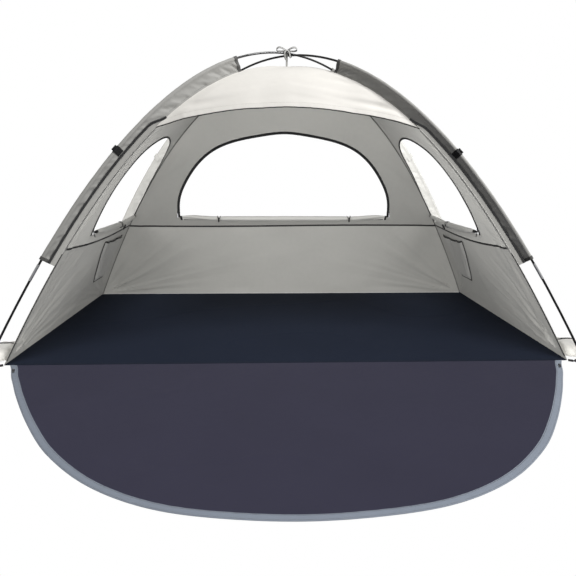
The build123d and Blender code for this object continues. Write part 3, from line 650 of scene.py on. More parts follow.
def solid_mat(name, colour, rough=(0.3, 0.5), metallic=0.0, scale=180.0, bump=0.1, vary=0.08, coat=0.0, stretch=None, wear=None):
    """Plastic, metal or resin with fine scratches, smudges and, if wear, rubbed edges of another colour."""
    m, nt, bsdf = new_mat(name)
    tc = nt.nodes.new("ShaderNodeTexCoord")
    src = tc.outputs["Object"]
    if stretch:
        mp = node(nt, "ShaderNodeMapping")
        mp.inputs["Scale"].default_value = stretch
        nt.links.new(src, mp.inputs["Vector"])
        src = mp.outputs[0]
    n1 = node(nt, "ShaderNodeTexNoise", Scale=scale, Detail=6.0)
    n2 = node(nt, "ShaderNodeTexNoise", Scale=scale / 9, Detail=3.0)
    nt.links.new(src, n1.inputs["Vector"])
    nt.links.new(src, n2.inputs["Vector"])
    tone = math_node(nt, "ADD", math_node(nt, "MULTIPLY", n1.outputs[0], 0.4), math_node(nt, "MULTIPLY", n2.outputs[0], 0.6))
    c = np.array(colour)
    r = ramp(nt, tone, [(0.3, tuple(c * (1 - vary))), (0.5, tuple(c)), (0.75, tuple(np.minimum(c * (1 + vary * 1.5), 0.98)))])
    out = r.outputs[0]
    if wear:
        geo = nt.nodes.new("ShaderNodeNewGeometry")
        k = math_node(nt, "MULTIPLY", math_node(nt, "SUBTRACT", geo.outputs["Pointiness"], 0.52), 9.0)
        k = math_node(nt, "MULTIPLY", k, n1.outputs[0])
        mixc = node(nt, "ShaderNodeMix", data_type="RGBA", clamp_factor=True)
        nt.links.new(k, mixc.inputs["Factor"])
        nt.links.new(out, mixc.inputs[6])
        mixc.inputs[7].default_value = (*wear, 1)
        out = mixc.outputs[2]
    nt.links.new(out, bsdf.inputs["Base Color"])
    rr = node(nt, "ShaderNodeMapRange")
    rr.inputs["To Min"].default_value, rr.inputs["To Max"].default_value = rough
    nt.links.new(tone, rr.inputs[0])
    nt.links.new(rr.outputs[0], bsdf.inputs["Roughness"])
    bm = node(nt, "ShaderNodeBump", Strength=bump, Distance=0.0003)
    nt.links.new(n1.outputs[0], bm.inputs["Height"])
    nt.links.new(bm.outputs[0], bsdf.inputs["Normal"])
    bsdf.inputs["Metallic"].default_value = metallic
    bsdf.inputs["Coat Weight"].default_value = coat
    return m


GREY = fabric("polyester_grey", srgb(178, 177, 172), translucent=0.10, rip=0.006, bump=0.18)
GUSSET = fabric("polyester_gusset", srgb(146, 145, 141), translucent=0.10, rip=0.006, bump=0.18)
WHITE = fabric("polyester_off_white", srgb(241, 238, 232), translucent=0.10, rip=0.006, bump=0.15, vary=0.03)
SLEEVE = fabric("sleeve_cloth", srgb(170, 169, 165), thread=0.0009, bump=0.3, vary=0.08)
ROLLED = fabric("flap_cloth", srgb(196, 195, 190), bump=0.2, vary=0.05)
FLOOR = fabric("floor_cloth", srgb(34, 40, 54), thread=0.0011, bump=0.3, rough=(0.72, 0.86), sheen=0.01, vary=0.07, spec=0.05)
DOOR = fabric("door_cloth", srgb(60, 59, 76), thread=0.0011, bump=0.3, rough=(0.6, 0.76), sheen=0.04, vary=0.06, spec=0.12)
BIND = fabric("binding_cloth", srgb(107, 114, 125), thread=0.0014, bump=0.5, rough=(0.5, 0.65), sheen=0.2, vary=0.06)
POCKET = fabric("pocket_cloth", srgb(180, 179, 175), thread=0.0013, bump=0.5, vary=0.08)
POUCH = fabric("pouch_cloth", srgb(222, 220, 214), thread=0.0012, bump=0.35, vary=0.05, coords="Object")
TAPE = webbing("black_tape", srgb(12, 12, 13), pitch=0.0012, sheen=0.02, vary=0.2)
GREYTAPE = webbing("zip_tape_grey", srgb(168, 167, 163), pitch=0.0012, vary=0.06)
SEAMTAPE = webbing("seam_binding", srgb(44, 43, 43), pitch=0.0012, vary=0.15, sheen=0.03)
# corner seam binding: its colour, darker than the wall cloth, is partly painted shade standing in for the shade along
# the inside corners
CORNER_SHADE_TAPE = webbing("corner_binding", srgb(112, 111, 108), pitch=0.0012, vary=0.1, sheen=0.03)
WEB = webbing("black_webbing", srgb(12, 12, 13), pitch=0.0022, bump=0.8, sheen=0.03)
TIE = webbing("tie_tape", srgb(196, 195, 191), pitch=0.0014, vary=0.08)
HEMTAPE = webbing("sleeve_hem", srgb(92, 91, 89), pitch=0.0011, vary=0.1, sheen=0.05)
THREAD = webbing("thread_grey", srgb(150, 149, 146), pitch=0.0006, bump=0.4)
THREAD_DARK = webbing("thread_dark", srgb(40, 42, 48), pitch=0.0006, bump=0.4)
COIL = solid_mat("zip_coil", srgb(12, 12, 13), rough=(0.38, 0.5), scale=500, bump=0.15)
GREYCOIL = solid_mat("zip_coil_grey", srgb(140, 139, 136), rough=(0.38, 0.5), scale=500, bump=0.15)
FIBRE = solid_mat("fibreglass_black", srgb(15, 15, 16), rough=(0.22, 0.4), scale=260, bump=0.2, coat=0.3, stretch=(1, 1, 6), vary=0.25)
STEEL = solid_mat("steel_zinc", (0.78, 0.79, 0.80), rough=(0.28, 0.45), metallic=1.0, scale=420, bump=0.12, vary=0.08, wear=(0.9, 0.9, 0.91))
ZIPMETAL = solid_mat("zip_gunmetal", (0.09, 0.09, 0.095), rough=(0.28, 0.45), metallic=1.0, scale=600, bump=0.1, vary=0.15, wear=(0.4, 0.4, 0.41))
PLASTIC = solid_mat("moulded_plastic_black", srgb(22, 22, 23), rough=(0.38, 0.58), scale=700, bump=0.25, vary=0.15, wear=srgb(60, 60, 62))
ELASTIC = webbing("elastic_cord", srgb(14, 14, 15), pitch=0.0011, bump=0.7)


def paint(mat, *names):
    for n in names:
        o = NODES[n]
        if not o.material_slots:
            o.data.materials.append(mat)
        for s in o.material_slots:
            s.link = "OBJECT"
            s.material = mat


paint(FIBRE, "pole_a_end_sections", "pole_a_middle_sections", "pole_b_end_sections", "pole_b_middle_sections")
paint(STEEL, "pole_a_ferrules", "pole_b_ferrules", "corner_pins", "corner_rings")
paint(PLASTIC, "pole_tips", "shock_cord_anchors")
paint(ELASTIC, "pole_a_shock_cord", "pole_b_shock_cord", "back_flap_loops", "left_flap_loops", "right_flap_loops")
paint(WEB, "corner_straps", "guy_out_loops")
paint(PLASTIC, "back_toggle_left", "back_toggle_right", "left_toggle", "right_toggle")
for _z in ("back_zip_left", "back_zip_right", "left_zip", "right_zip", "door_zip_left", "door_zip_right"):
    paint(ZIPMETAL, _z + "_slider", _z + "_pull")

INSIDE = np.array([0.0, YM, 0.35])


# ------------------------------------------------------------------ wall panels
def side_polygon(side, s_low, s_high, step):
    """Outline of a band of a side between two curves given as functions of along, as points (along, s)."""
    half, other = SIDES[side]
    n = 220

    def edge(fn, sign):
        # where the curve s = fn(along) meets the corner seam along = sign * other * u(s)
        lo, hi = 0.0, other
        for _ in range(50):
            m = (lo + hi) / 2
            if other * float(u_of_s(side, fn(sign * m))) > m:
                lo = m
            else:
                hi = m
        return sign * lo
    a1, a0 = edge(s_high, 1), edge(s_high, -1)
    low = []
    if s_low is not None:
        b1, b0 = edge(s_low, 1), edge(s_low, -1)
        xs = np.linspace(b0, b1, n)
        low = [(x, float(s_low(x))) for x in xs]
    else:
        b0 = b1 = 0.0
        low = [(0.0, 0.0)]
    u_a, u_b = abs(a1) / other, abs(b1) / other
    right_edge = [(other * u, float(s_of_u(side, u))) for u in np.linspace(u_b, u_a, 160)][1:-1]
    u_a0, u_b0 = abs(a0) / other, abs(b0) / other
    left_edge = [(-other * u, float(s_of_u(side, u))) for u in np.linspace(u_a0, u_b0, 160)][1:-1]
    high = [(x, float(s_high(x))) for x in np.linspace(a1, a0, n)]
    return np.array(low + right_edge + high + left_edge)


def wall(name, side, poly, holes, mat, nodes, flat, area, step=0.0095, held="stretched", shift=0.0):
    v2, f = fill(poly, holes, step)
    off = SKIN + sag(side, v2[:, 0], v2[:, 1]) + shift
    v = place(side, v2[:, 0], v2[:, 1], off)
    f = flip_to(v, f, INSIDE)
    vv, ff, uv = thicken(v, f, CLOTH, v2)
    o = make(name, vv, ff, mat, "root", uv)
    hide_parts(*nodes)
    return o, float(0.5 * np.linalg.norm(np.cross(v[f[:, 1]] - v[f[:, 0]], v[f[:, 2]] - v[f[:, 0]]), axis=1).sum())


WALLS = {}
for side in ("back", "left", "right"):
    half, other = SIDES[side]
    ground = float(s_of_z(side, 0.0030))
    seam = lambda x, side=side: s_of_z(side, seam_z(side, x))
    low_poly = side_polygon(side, seam, lambda x, g=ground: g, 0.01)
    up_poly = side_polygon(side, None, seam, 0.01)
    hole = WINDOW[side]
    for part, poly, holes in (("lower", low_poly, []), ("upper", up_poly, [hole])):
        size = poly.max(0) - poly.min(0)
        o, area = wall(f"{side}_{part}_cloth", side, poly, holes, GREY, [f"{side}_{part}_wall"], size, None)
        WALLS[side, part] = (o, size, area)

# front roof panel
xs = np.linspace(HW * 0.492, -HW * 0.492, 260)
edge_s = s_of_u("front", arch_d(xs) / HD)
diag_u = np.linspace(0, 0.492, 170)
front_poly = np.array([(HW * u, float(s_of_u("front", u))) for u in diag_u[:-1]] + [(x, s) for x, s in zip(xs, edge_s)]
                      + [(-HW * u, float(s_of_u("front", u))) for u in diag_u[::-1][1:-1]])
size = front_poly.max(0) - front_poly.min(0)
front_cloth, area = wall("front_roof_cloth", "front", front_poly, [], WHITE, ["front_roof_panel"], size, None, step=0.0075)
WALLS["front", "roof"] = (front_cloth, size, area)


# ------------------------------------------------------------------ tapes that follow a side
def follow(side, path, section, lift=0.0, mat=TAPE, name="tape", inward=True):
    """A strip along a 2-D path on a side. section is (across, off) pairs round the strip; off counts inward from the cloth's middle."""
    path = np.asarray(path)
    parts = []
    sec = np.asarray(section)
    pts = []
    for g, o in sec:
        p = offset2(path, g)
        base = sag(side, p[:, 0], p[:, 1])
        pts.append(place(side, p[:, 0], p[:, 1], SKIN + base + o + lift))
    v = np.stack(pts, 1)
    n, k = v.shape[:2]
    f = [tuple(r) for r in grid_faces(n, k, wrap=True)]
    f += [tuple(range(k)), tuple((n - 1) * k + np.arange(k))[::-1]]
    v = v.reshape(-1, 3)
    return v, f


def strip_section(g0, g1, o0, o1, r=0.0004):
    return [(g0, o0 + r), (g0 + r, o0), (g1 - r, o0), (g1, o0 + r), (g1, o1 - r), (g1 - r, o1), ((g0 + g1) / 2, o1 + 0.0002), (g0 + r, o1), (g0, o1 - r)]


def normals_along(side, path, off=0.002):
    p = np.asarray(path)
    a = place(side, p[:, 0], p[:, 1], 0.0)
    b = place(side, p[:, 0], p[:, 1], 0.01)
    n = b - a
    return n / np.linalg.norm(n, axis=1)[:, None]


def on_side(side, path, off):
    p = np.asarray(path)
    return place(side, p[:, 0], p[:, 1], SKIN + sag(side, p[:, 0], p[:, 1]) + off)


def teeth(points, normals, pitch=0.0024, size=(0.0014, 0.0046, 0.0016)):
    """A row of zip coil teeth along points: each one a rounded bar across the tape."""
    p = np.asarray(points, float)
    n = int(length_of(p) / pitch)
    q = even(np.concatenate([p, normals * 0.001], 1), n)
    c, m = q[:, :3], q[:, 3:]
    m = m / np.linalg.norm(m, axis=1)[:, None]
    t = np.gradient(c, axis=0)
    t /= np.linalg.norm(t, axis=1)[:, None]
    b = np.cross(t, m)
    l, w, h = size
    rows = []
    for sb, tt, hh in ((-0.5, 0.55, 0.25), (-0.38, 1.0, 1.0), (0.30, 1.0, 1.0), (0.5, 1.25, 0.6)):
        for st, sh in ((-0.5, 0), (-0.36, 1), (0.36, 1), (0.5, 0)):
            rows.append(c + b * (w * sb) + t * (l * st * tt) + m * (h * sh * hh))
    v = np.stack(rows, 1)
    face = []
    for i in range(3):
        for j in range(4):
            a, d = i * 4 + j, i * 4 + (j + 1) % 4
            face.append((a, d, d + 4, a + 4))
    face += [(3, 2, 1, 0), (12, 13, 14, 15)]
    f = [tuple(i + 16 * k for i in r) for k in range(len(c)) for r in face]
    return v.reshape(-1, 3), f


EXTRA = {}          # pieces that go with each wall
for side in ("back", "left", "right"):
    extra = []
    band = 0.0150 if side == "back" else 0.0095
    path = even(WINDOW[side], 420 if side == "back" else 320)
    # outline runs anticlockwise about the window or clockwise: find which way is outward
    c0 = path.mean(0)
    out = 1 if np.linalg.norm(offset2(path, 0.01)[100] - c0) > np.linalg.norm(path[100] - c0) else -1
    sec = strip_section(-0.0004, band, 0.0009, 0.0022)
    sec = [(g * out, o) for g, o in sec]
    v, f = follow(side, path, sec)
    tape = make(f"{side}_zip_tape", v, f, TAPE, "root", sharp=40)
    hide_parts(f"{side}_window_zip_tape")
    line = offset2(path, 0.0012 * out)
    tv, tf = teeth(on_side(side, line, 0.0022), normals_along(side, line) * 1.0)
    coil = make(f"{side}_zip_teeth", tv, tf, COIL, "root", sharp=40)
    # two rows of stitches hold the tape
    rows = []
    for g in (band * 0.64, band - 0.0014):
        line = offset2(path, g * out)
        on, nrm = on_side(side, line, 0.0024), normals_along(side, line)
        if side == "back":                      # both rows stop short of the sliders' run
            high = on[:, 2] > 0.658
            on, nrm = on[high], nrm[high]
        rows.append(stitch_mesh(on, nrm))
    sv, sf = merge(rows)
    st = make(f"{side}_zip_stitches", sv, sf, THREAD_DARK, "root", sharp=0)
    extra += [tape, coil, st]
    EXTRA[side, "upper"] = extra

# the level seam between the lower and the upper walls: a folded binding with a row of stitches each side
seam_parts, seam_stitch, lap_parts, lap_stitch = [], [], [], []
for side in ("back", "left", "right"):
    other = SIDES[side][1]
    zz = lambda x: s_of_z(side, seam_z(side, x))
    x1 = other * float(u_of_s(side, zz(other * 0.78)))
    x1 = other * float(u_of_s(side, zz(x1))) - 0.0035
    xs = np.linspace(-x1, x1, 300 if side == "back" else 180)
    path = np.stack([xs, zz(xs)], -1)
    seam_parts.append(follow(side, path, strip_section(-0.0054, 0.0054, 0.0008, 0.0021)))
    lap_parts.append(follow(side, path, strip_section(-0.0068, 0.0068, -0.0013, -0.0003)))
    for g in (-0.0048, 0.0048):
        line = offset2(path, g)
        lap_stitch.append(stitch_mesh(on_side(side, line, -0.0014), -normals_along(side, line)))
    for g in (-0.0038, 0.0038):
        line = offset2(path, g)
        seam_stitch.append(stitch_mesh(on_side(side, line, 0.0022), normals_along(side, line)))
v, f = merge(seam_parts)
seam_tape = make("wall_seam_binding", v, f, SEAMTAPE, "root", sharp=40)
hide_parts("wall_seam_tape")
v, f = merge(seam_stitch)
seam_thread = make("wall_seam_stitches", v, f, THREAD_DARK, "root", sharp=0)
v, f = merge(lap_parts)
lap = make("wall_seam_lap", v, f, GREYTAPE, "root", sharp=40)
v, f = merge(lap_stitch)
lap_thread = make("wall_seam_lap_stitches", v, f, THREAD_DARK, "root", sharp=0)
EXTRA["back", "lower"] = [seam_tape, seam_thread, lap, lap_thread]


# corner seams inside, where the rear and side walls meet: a real seam binding, darker than the walls so that its colour
# is partly painted shade for the shade line along the inside corners
def corner_path(side, sign, u0, u1, n=160, inset=0.0):
    other = SIDES[side][1]
    u = np.linspace(u0, u1, n)
    return np.stack([sign * (other * u - inset), s_of_u(side, u)], -1)


corner_parts, corner_stitch = [], []
for sign in (-1, 1):
    path = corner_path("back", sign, 0.05, 0.9985, inset=0.0034)
    p3 = on_side("back", path, 0.0016)
    other_side = "left" if sign < 0 else "right"
    path2 = corner_path(other_side, 1, 0.05, 0.9985, inset=0.0034)
    q3 = on_side(other_side, path2, 0.0016)
    mid = (p3 + q3) / 2
    nb = normals_along("back", path) + normals_along(other_side, path2)
    nb /= np.linalg.norm(nb, axis=1)[:, None]
    v, f = tube(mid + nb * 0.0006, nb, flat_section(0.0094, 0.0013))
    corner_parts.append((v, f))
    corner_stitch.append(stitch_mesh(mid + nb * 0.0013, nb))
v, f = merge(corner_parts)
# binding strip whose dark colour is partly painted shade along the corner
corner_shade_tape = make("rear_corner_seam_binding", v, f, CORNER_SHADE_TAPE, "root", sharp=40)
v, f = merge(corner_stitch)
corner_thread = make("rear_corner_seam_stitches", v, f, THREAD, "root", sharp=0)
EXTRA["back", "upper"] += [corner_shade_tape, corner_thread]

# ------------------------------------------------------------------ front edges of the side walls: hem and half of the door zip
def grey_above(o, mat):
    """The zip is dyed to the walls above the level seam."""
    o.data.materials.append(mat)
    cz = np.empty(len(o.data.polygons) * 3)
    o.data.polygons.foreach_get("center", cz)
    o.data.polygons.foreach_set("material_index", (cz[2::3] > SEAM - 0.02).astype(np.int32))


for side in ("left", "right"):
    parts, rows, tooth = [], [], []
    upper_u, lower_u = 0.494, float(u_of_s(side, s_of_z(side, SEAM))) + 0.0
    # tape with its coil, wide above the level seam and folded narrow below it
    path = corner_path(side, -1, upper_u, 0.800, 260)
    g = 1 if offset2(path, 0.01)[50][0] > path[50][0] else -1
    parts.append(follow(side, path, [(a * g, b) for a, b in strip_section(0.0006, 0.0215, 0.0009, 0.0024)]))
    line = offset2(path, 0.0030 * g)
    tooth.append(teeth(on_side(side, line, 0.0024), normals_along(side, line)))
    for a in (0.0105, 0.0190):
        line = offset2(path, a * g)
        rows.append(stitch_mesh(on_side(side, line, 0.0025), normals_along(side, line)))
    path = corner_path(side, -1, 0.800, 0.992, 200)
    parts.append(follow(side, path, [(a * g, b) for a, b in strip_section(0.0004, 0.0068, 0.0009, 0.0030)]))
    line = offset2(path, 0.0036 * g)
    tooth.append(teeth(on_side(side, line, 0.0030), normals_along(side, line)))
    for a in (0.0105, 0.0225):
        line = offset2(path, a * g)
        rows.append(stitch_mesh(on_side(side, line, 0.0007), normals_along(side, line)))
    v, f = merge(parts)
    edge_tape = make(f"{side}_front_edge_tape", v, f, TAPE, "root", sharp=40)
    grey_above(edge_tape, GREYTAPE)
    if side == "left":
        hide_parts("door_zip_track")
    v, f = merge(tooth)
    edge_teeth = make(f"{side}_front_edge_zip_teeth", v, f, COIL, "root", sharp=40)
    grey_above(edge_teeth, GREYCOIL)
    v, f = merge(rows)
    edge_thread = make(f"{side}_front_edge_stitches", v, f, THREAD, "root", sharp=0)
    EXTRA[side, "lower"] = [edge_tape, edge_teeth, edge_thread]

# front roof panel: piping on its lower edge, a hem and a row of stitches
xs = np.linspace(-HW * 0.4915, HW * 0.4915, 320)
edge2 = np.stack([xs, s_of_u("front", arch_d(xs) / HD)], -1)
g_in = 1 if offset2(edge2, 0.01)[160][1] < edge2[160][1] else -1
p3, n3 = on_side("front", edge2, 0.0), normals_along("front", edge2)
rim = on_side("front", offset2(edge2, -0.0015 * g_in), 0.0)
v, f = tube(rim, n3, round_section(0.0021, 10))
piping = make("front_arch_piping_cord", v, f, TAPE, "root", sharp=0)
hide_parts("front_arch_piping")
rows = []
for g in (0.004, 0.022, 0.025):
    line = offset2(edge2, g * g_in)[6:-6]
    rows.append(stitch_mesh(on_side("front", line, -0.0006), -normals_along("front", line)))
v, f = merge(rows)
roof_thread = make("front_roof_stitches", v, f, TIE, "root", sharp=0)
hem_path = offset2(edge2, 0.0125 * g_in)[4:-4]
v, f = follow("front", hem_path, strip_section(-0.0110, 0.0110, -0.0014, -0.0004, 0.0003), name="hem")
vu = np.asarray(v)
roof_hem = make("front_roof_hem", v, f, WHITE, "root", uv=vu[:, [0, 2]], sharp=40)
EXTRA["front", "roof"] = [piping, roof_thread, roof_hem]

for (side, part), (o, size, area) in WALLS.items():
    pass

# ------------------------------------------------------------------ poles, as the CAD source draws them, for the sleeves
POLE_RISE, POLE_HALF, STAGGER = 1.355, 1.430, 0.0053
TURNS = [0, 8, 16, 24, 32, 39, 45, 50.5, 55, 59]


def arch_rows(rise):
    r0 = POLE_HALF ** 2 / (2 * rise)
    th = [math.radians(a) for a in TURNS] + [math.atan(POLE_HALF / r0)]
    rows = []
    for a, b in zip(th, th[1:]):
        ds, dz = r0 * (math.tan(b) - math.tan(a)), r0 / 2 * (math.tan(b) ** 2 - math.tan(a) ** 2)
        u, v = math.sin(b) - math.sin(a), math.cos(a) - math.cos(b)
        rows.append([a, b, (ds * u + dz * v) / (u * u + v * v), u, v])
    n = len(rows)
    s0 = sum(r * u for _, _, r, u, _ in rows)
    z0 = sum(r * v for _, _, r, _, v in rows)
    s1 = sum(r * u * i / n for i, (_, _, r, u, _) in enumerate(rows))
    z1 = sum(r * v * i / n for i, (_, _, r, _, v) in enumerate(rows))
    det = s0 * z1 - z0 * s1
    k0 = (POLE_HALF * z1 - rise * s1) / det
    k1 = (s0 * rise - z0 * POLE_HALF) / det
    return [(a, b, r * (k0 + k1 * i / n)) for i, (a, b, r, _, _) in enumerate(rows)]


def arch_curve(rise, n=1200):
    """Points (distance from the middle, height) of half a pole, evenly spaced."""
    s, z, pts = 0.0, rise, []
    for a, b, r in arch_rows(rise):
        for t in np.linspace(a, b, n // 8):
            pts.append((s + r * (math.sin(t) - math.sin(a)), z - r * (math.cos(a) - math.cos(t))))
        s += r * (math.sin(b) - math.sin(a))
        z -= r * (math.cos(a) - math.cos(b))
    return even(np.array(pts), n)


POLE = {"pole_a": arch_curve(POLE_RISE + STAGGER), "pole_b": arch_curve(POLE_RISE - STAGGER)}


def ridge_z(dist):
    return RISE * (1 - (dist / DIAG) ** 2)


GUY = []
SLEEVES = {"front_left": (-1, -1, "pole_a"), "front_right": (1, -1, "pole_b"), "rear_right": (1, 1, "pole_a"), "rear_left": (-1, 1, "pole_b")}
for name, (sx, sy, key) in SLEEVES.items():
    c = POLE[key]
    keep = (c[:, 0] >= 0.268) & (c[:, 0] <= 1.181)
    line = even(c[keep], 260)
    t = np.gradient(line, axis=0)
    t /= np.linalg.norm(t, axis=1)[:, None]
    outn = np.stack([-t[:, 1], t[:, 0]], -1)               # away from the middle, in the plane of the pole
    outn *= np.where(outn[:, 1:] < 0, -1, 1)
    # depth from the pole to the ridge, square to the pole
    depth = np.empty(len(line))
    for i, (p, o) in enumerate(zip(line, outn)):
        lo, hi = 0.0, 0.12
        for _ in range(30):
            m = (lo + hi) / 2
            q = p - o * m
            if q[1] > ridge_z(q[0]):
                lo = m
            else:
                hi = m
        depth[i] = lo
    run = np.concatenate([[0], np.cumsum(np.linalg.norm(np.diff(line, axis=0), axis=1))])
    dirv = np.array([sx * HW / DIAG, sy * HD / DIAG, 0.0])
    side_v = np.cross(dirv, [0, 0, 1.0])
    seed = {"front_left": 71, "front_right": 83, "rear_right": 97, "rear_left": 101}[name]
    turn = step01(line[:, 0] - 0.655, 0.07) if sy < 0 else np.zeros(len(line))
    deep = depth * (1 - turn) + np.minimum(0.0295, depth) * turn
    # profile across the sleeve: up one side of the fin, over the pole, down the other
    prof = []
    for k in np.linspace(1, 0, 12):
        prof.append(("f", 1, k))
    for k in np.linspace(0, 1, 13)[1:-1]:
        prof.append(("c", k, 0))
    for k in np.linspace(0, 1, 12):
        prof.append(("f", -1, k))
    rad = 0.0066
    cols, uvs = [], []
    for kind, a, k in prof:
        if kind == "f":
            d = 0.004 + (deep - 0.0020) * k
            gap = 0.0011 + (rad - 0.0011) * np.exp(-(d - 0.004) / 0.0055)
            w = run * 26 + d * 26
            fold = 0.0026 * vnoise(w, d * 22, seed) + 0.0017 * vnoise(w * 2.4 + 5, d * 40, seed + 1)
            ends = 1 + 1.7 * np.exp(-run / 0.06) + 1.2 * np.exp(-(run[-1] - run) / 0.08)
            fold = fold * ends * np.clip(k * 3, 0, 1) * np.clip((1 - k) * 6, 0.15, 1)
            off_side = a * gap + fold
            dd = d
        else:
            ang = math.pi * a
            off_side = np.full(len(line), math.cos(ang) * rad) * (1 + 0.05 * vnoise(run * 40, ang * 2, seed + 2))
            dd = 0.004 * (1 - math.sin(ang)) - math.sin(ang) * (rad + 0.0012 + 0.0006 * vnoise(run * 30, ang * 3, seed + 3))
        q2 = line - outn * np.atleast_1d(dd)[:, None]
        p3 = np.stack([q2[:, 0] * dirv[0], YM + q2[:, 0] * dirv[1], q2[:, 1]], -1) + side_v * np.broadcast_to(off_side, len(line))[:, None]
        cols.append(p3)
    v = np.stack(cols, 1)
    arcw = np.concatenate([[0], np.cumsum(np.linalg.norm(np.diff(v.mean(0), axis=0), axis=1))])
    uv = np.stack([np.broadcast_to(run[:, None], v.shape[:2]), np.broadcast_to(arcw[None], v.shape[:2])], -1).reshape(-1, 2)
    n, k = v.shape[:2]
    f = grid_faces(n, k)
    vv, ff, uv2 = thicken(v.reshape(-1, 3), f, 0.0009, uv)
    sl = make(f"{name}_sleeve_cloth", vv, ff, SLEEVE, "root", uv2, sharp=60)
    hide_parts(f"{name}_sleeve")
    if sy < 0:
        low = np.nonzero(line[:, 0] > 0.655)[0]
        gr = []
        for k in np.linspace(0, 1, 9):
            d = deep[low] - 0.004 + (depth[low] + 0.0018 - deep[low] + 0.004) * k
            q2 = line[low] - outn[low] * d[:, None]
            wob = -0.0004 + 0.0009 * vnoise(run[low] * 22, d * 60, seed + 7) * math.sin(math.pi * k)
            gr.append(np.stack([q2[:, 0] * dirv[0], YM + q2[:, 0] * dirv[1], q2[:, 1]], -1) + side_v * wob[:, None])
        gr = np.stack(gr, 1)
        gn_, gk_ = gr.shape[:2]
        guv = np.stack([np.broadcast_to(run[low][:, None], (gn_, gk_)), np.broadcast_to(np.linspace(0, 0.03, gk_)[None], (gn_, gk_))], -1).reshape(-1, 2)
        gv_, gf_, guv2 = thicken(gr.reshape(-1, 3), grid_faces(gn_, gk_), 0.0008, guv)
        gusset = make(f"{name}_edge_gusset", gv_, gf_, GUSSET, "root", guv2, sharp=60)
        strips, srow = [], []
        for a in (-1, 1):
            d = deep[low] + 0.0008
            q2 = line[low] - outn[low] * d[:, None]
            p3 = np.stack([q2[:, 0] * dirv[0], YM + q2[:, 0] * dirv[1], q2[:, 1]], -1) + side_v * (a * 0.0030)
            strips.append(tube(p3, side_v * a, flat_section(0.0108, 0.0013)))
            for e in (-0.0040, 0.0040):
                srow.append(stitch_mesh(p3 + np.stack([outn[low][:, 0] * dirv[0], outn[low][:, 0] * dirv[1], outn[low][:, 1]], -1) * e + side_v * (a * 0.0008), side_v * a))
        dv, df = merge(strips)
        edge_seam = make(f"{name}_edge_zip", dv, df, TAPE, "root", sharp=40)
        dv, df = merge(srow)
        edge_rows = make(f"{name}_edge_zip_stitches", dv, df, THREAD_DARK, "root", sharp=0)
    hem_parts = []
    nv3 = vertex_normals(v.reshape(-1, 3), f).reshape(v.shape)
    for part_ in (slice(0, 4), slice(-4, None)):
        hv = v[part_] - nv3[part_] * 0.0008
        hv_, hf_, _ = thicken(hv.reshape(-1, 3), grid_faces(*hv.shape[:2]), 0.0026)
        hem_parts.append((hv_, hf_))
    hem_ = make(f"{name}_sleeve_hems", *merge(hem_parts), HEMTAPE, "root", sharp=50)
    # webbing band with its guy loop
    mids = np.interp(0.845, line[:, 0], run)
    st = np.linspace(mids - 0.0165, mids + 0.0165, 9)
    ln = np.stack([np.interp(st, run, line[:, 0]), np.interp(st, run, line[:, 1])], -1)
    on = np.stack([np.interp(st, run, outn[:, 0]), np.interp(st, run, outn[:, 1])], -1)
    shape_ = [(0.0235, 0.0034), (0.0180, 0.0036), (0.0120, 0.0046), (0.0070, 0.0066), (0.0030, 0.0084)]
    shape_ += [(-0.0092 * math.sin(a), 0.0092 * math.cos(a)) for a in np.linspace(0, math.pi, 15)]
    shape_ += [(d, -o_) for d, o_ in shape_[4::-1]]
    bandp = []
    for d, o_ in shape_:
        q2 = ln - on * d
        bandp.append(np.stack([q2[:, 0] * dirv[0], YM + q2[:, 0] * dirv[1], q2[:, 1]], -1) + side_v * o_)
    bandp = np.stack(bandp, 1)
    bv_, bf_, _ = thicken(bandp.reshape(-1, 3), grid_faces(*bandp.shape[:2]), 0.0014)
    tab = []
    for d, o_ in ((-0.0085, 0.0022), (-0.0115, 0.0030), (-0.0150, 0.0027), (-0.0168, 0.0), (-0.0150, -0.0027), (-0.0115, -0.0030), (-0.0085, -0.0022)):
        q2 = ln[4] - on[4] * d
        tab.append(np.array([q2[0] * dirv[0], YM + q2[0] * dirv[1], q2[1]]) + side_v * o_)
    tab = spline(np.array(tab), 40)
    tt = np.gradient(tab, axis=0)
    tt /= np.linalg.norm(tt, axis=1)[:, None]
    along3 = np.array([t[len(t) // 2, 0] * dirv[0], t[len(t) // 2, 0] * dirv[1], t[len(t) // 2, 1]])
    nn = np.cross(np.broadcast_to(along3, tt.shape), tt)
    GUY.append((bv_, bf_))
    GUY.append(tube(tab, nn / np.linalg.norm(nn, axis=1)[:, None], flat_section(0.0260, 0.0013)))
    rows = []
    for a in (-1, 1):
        d = deep - 0.0065
        q2 = line - outn * d[:, None]
        p3 = np.stack([q2[:, 0] * dirv[0], YM + q2[:, 0] * dirv[1], q2[:, 1]], -1) + side_v * (a * 0.0019)
        rows.append(stitch_mesh(p3, side_v * a))
        d = np.full(len(line), 0.0165)
        q2 = line - outn * d[:, None]
        p3 = np.stack([q2[:, 0] * dirv[0], YM + q2[:, 0] * dirv[1], q2[:, 1]], -1) + side_v * (a * 0.0022)
    sv, sf = merge(rows)
    th = make(f"{name}_sleeve_stitches", sv, sf, THREAD_DARK, "root", sharp=0)

gv_, gf_ = merge(GUY[:4])
guy = make("guy_out_webbing", gv_, gf_, WEB, "root", sharp=40)
gv_, gf_ = merge(GUY[4:])               # the two on the rear sleeves are of the sleeves' own cloth
guy_rear = make("rear_guy_out_tabs", gv_, gf_, SLEEVE, "root", sharp=40)
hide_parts("guy_out_loops")

# ------------------------------------------------------------------ floor and door
def ground_wave(x, y):
    """Height of slack in the floor cloth."""
    w = 0.0011 * (1 + vnoise(x * 2.1, y * 2.3, 201)) + 0.0007 * (1 + vnoise(x * 6 + y * 2, y * 5, 202))
    crease = np.maximum(0, 1 - np.abs(vnoise(x * 1.7 + y * 0.8, y * 1.9 - x * 0.6, 203)) * 9)
    return w + 0.0012 * crease ** 1.5


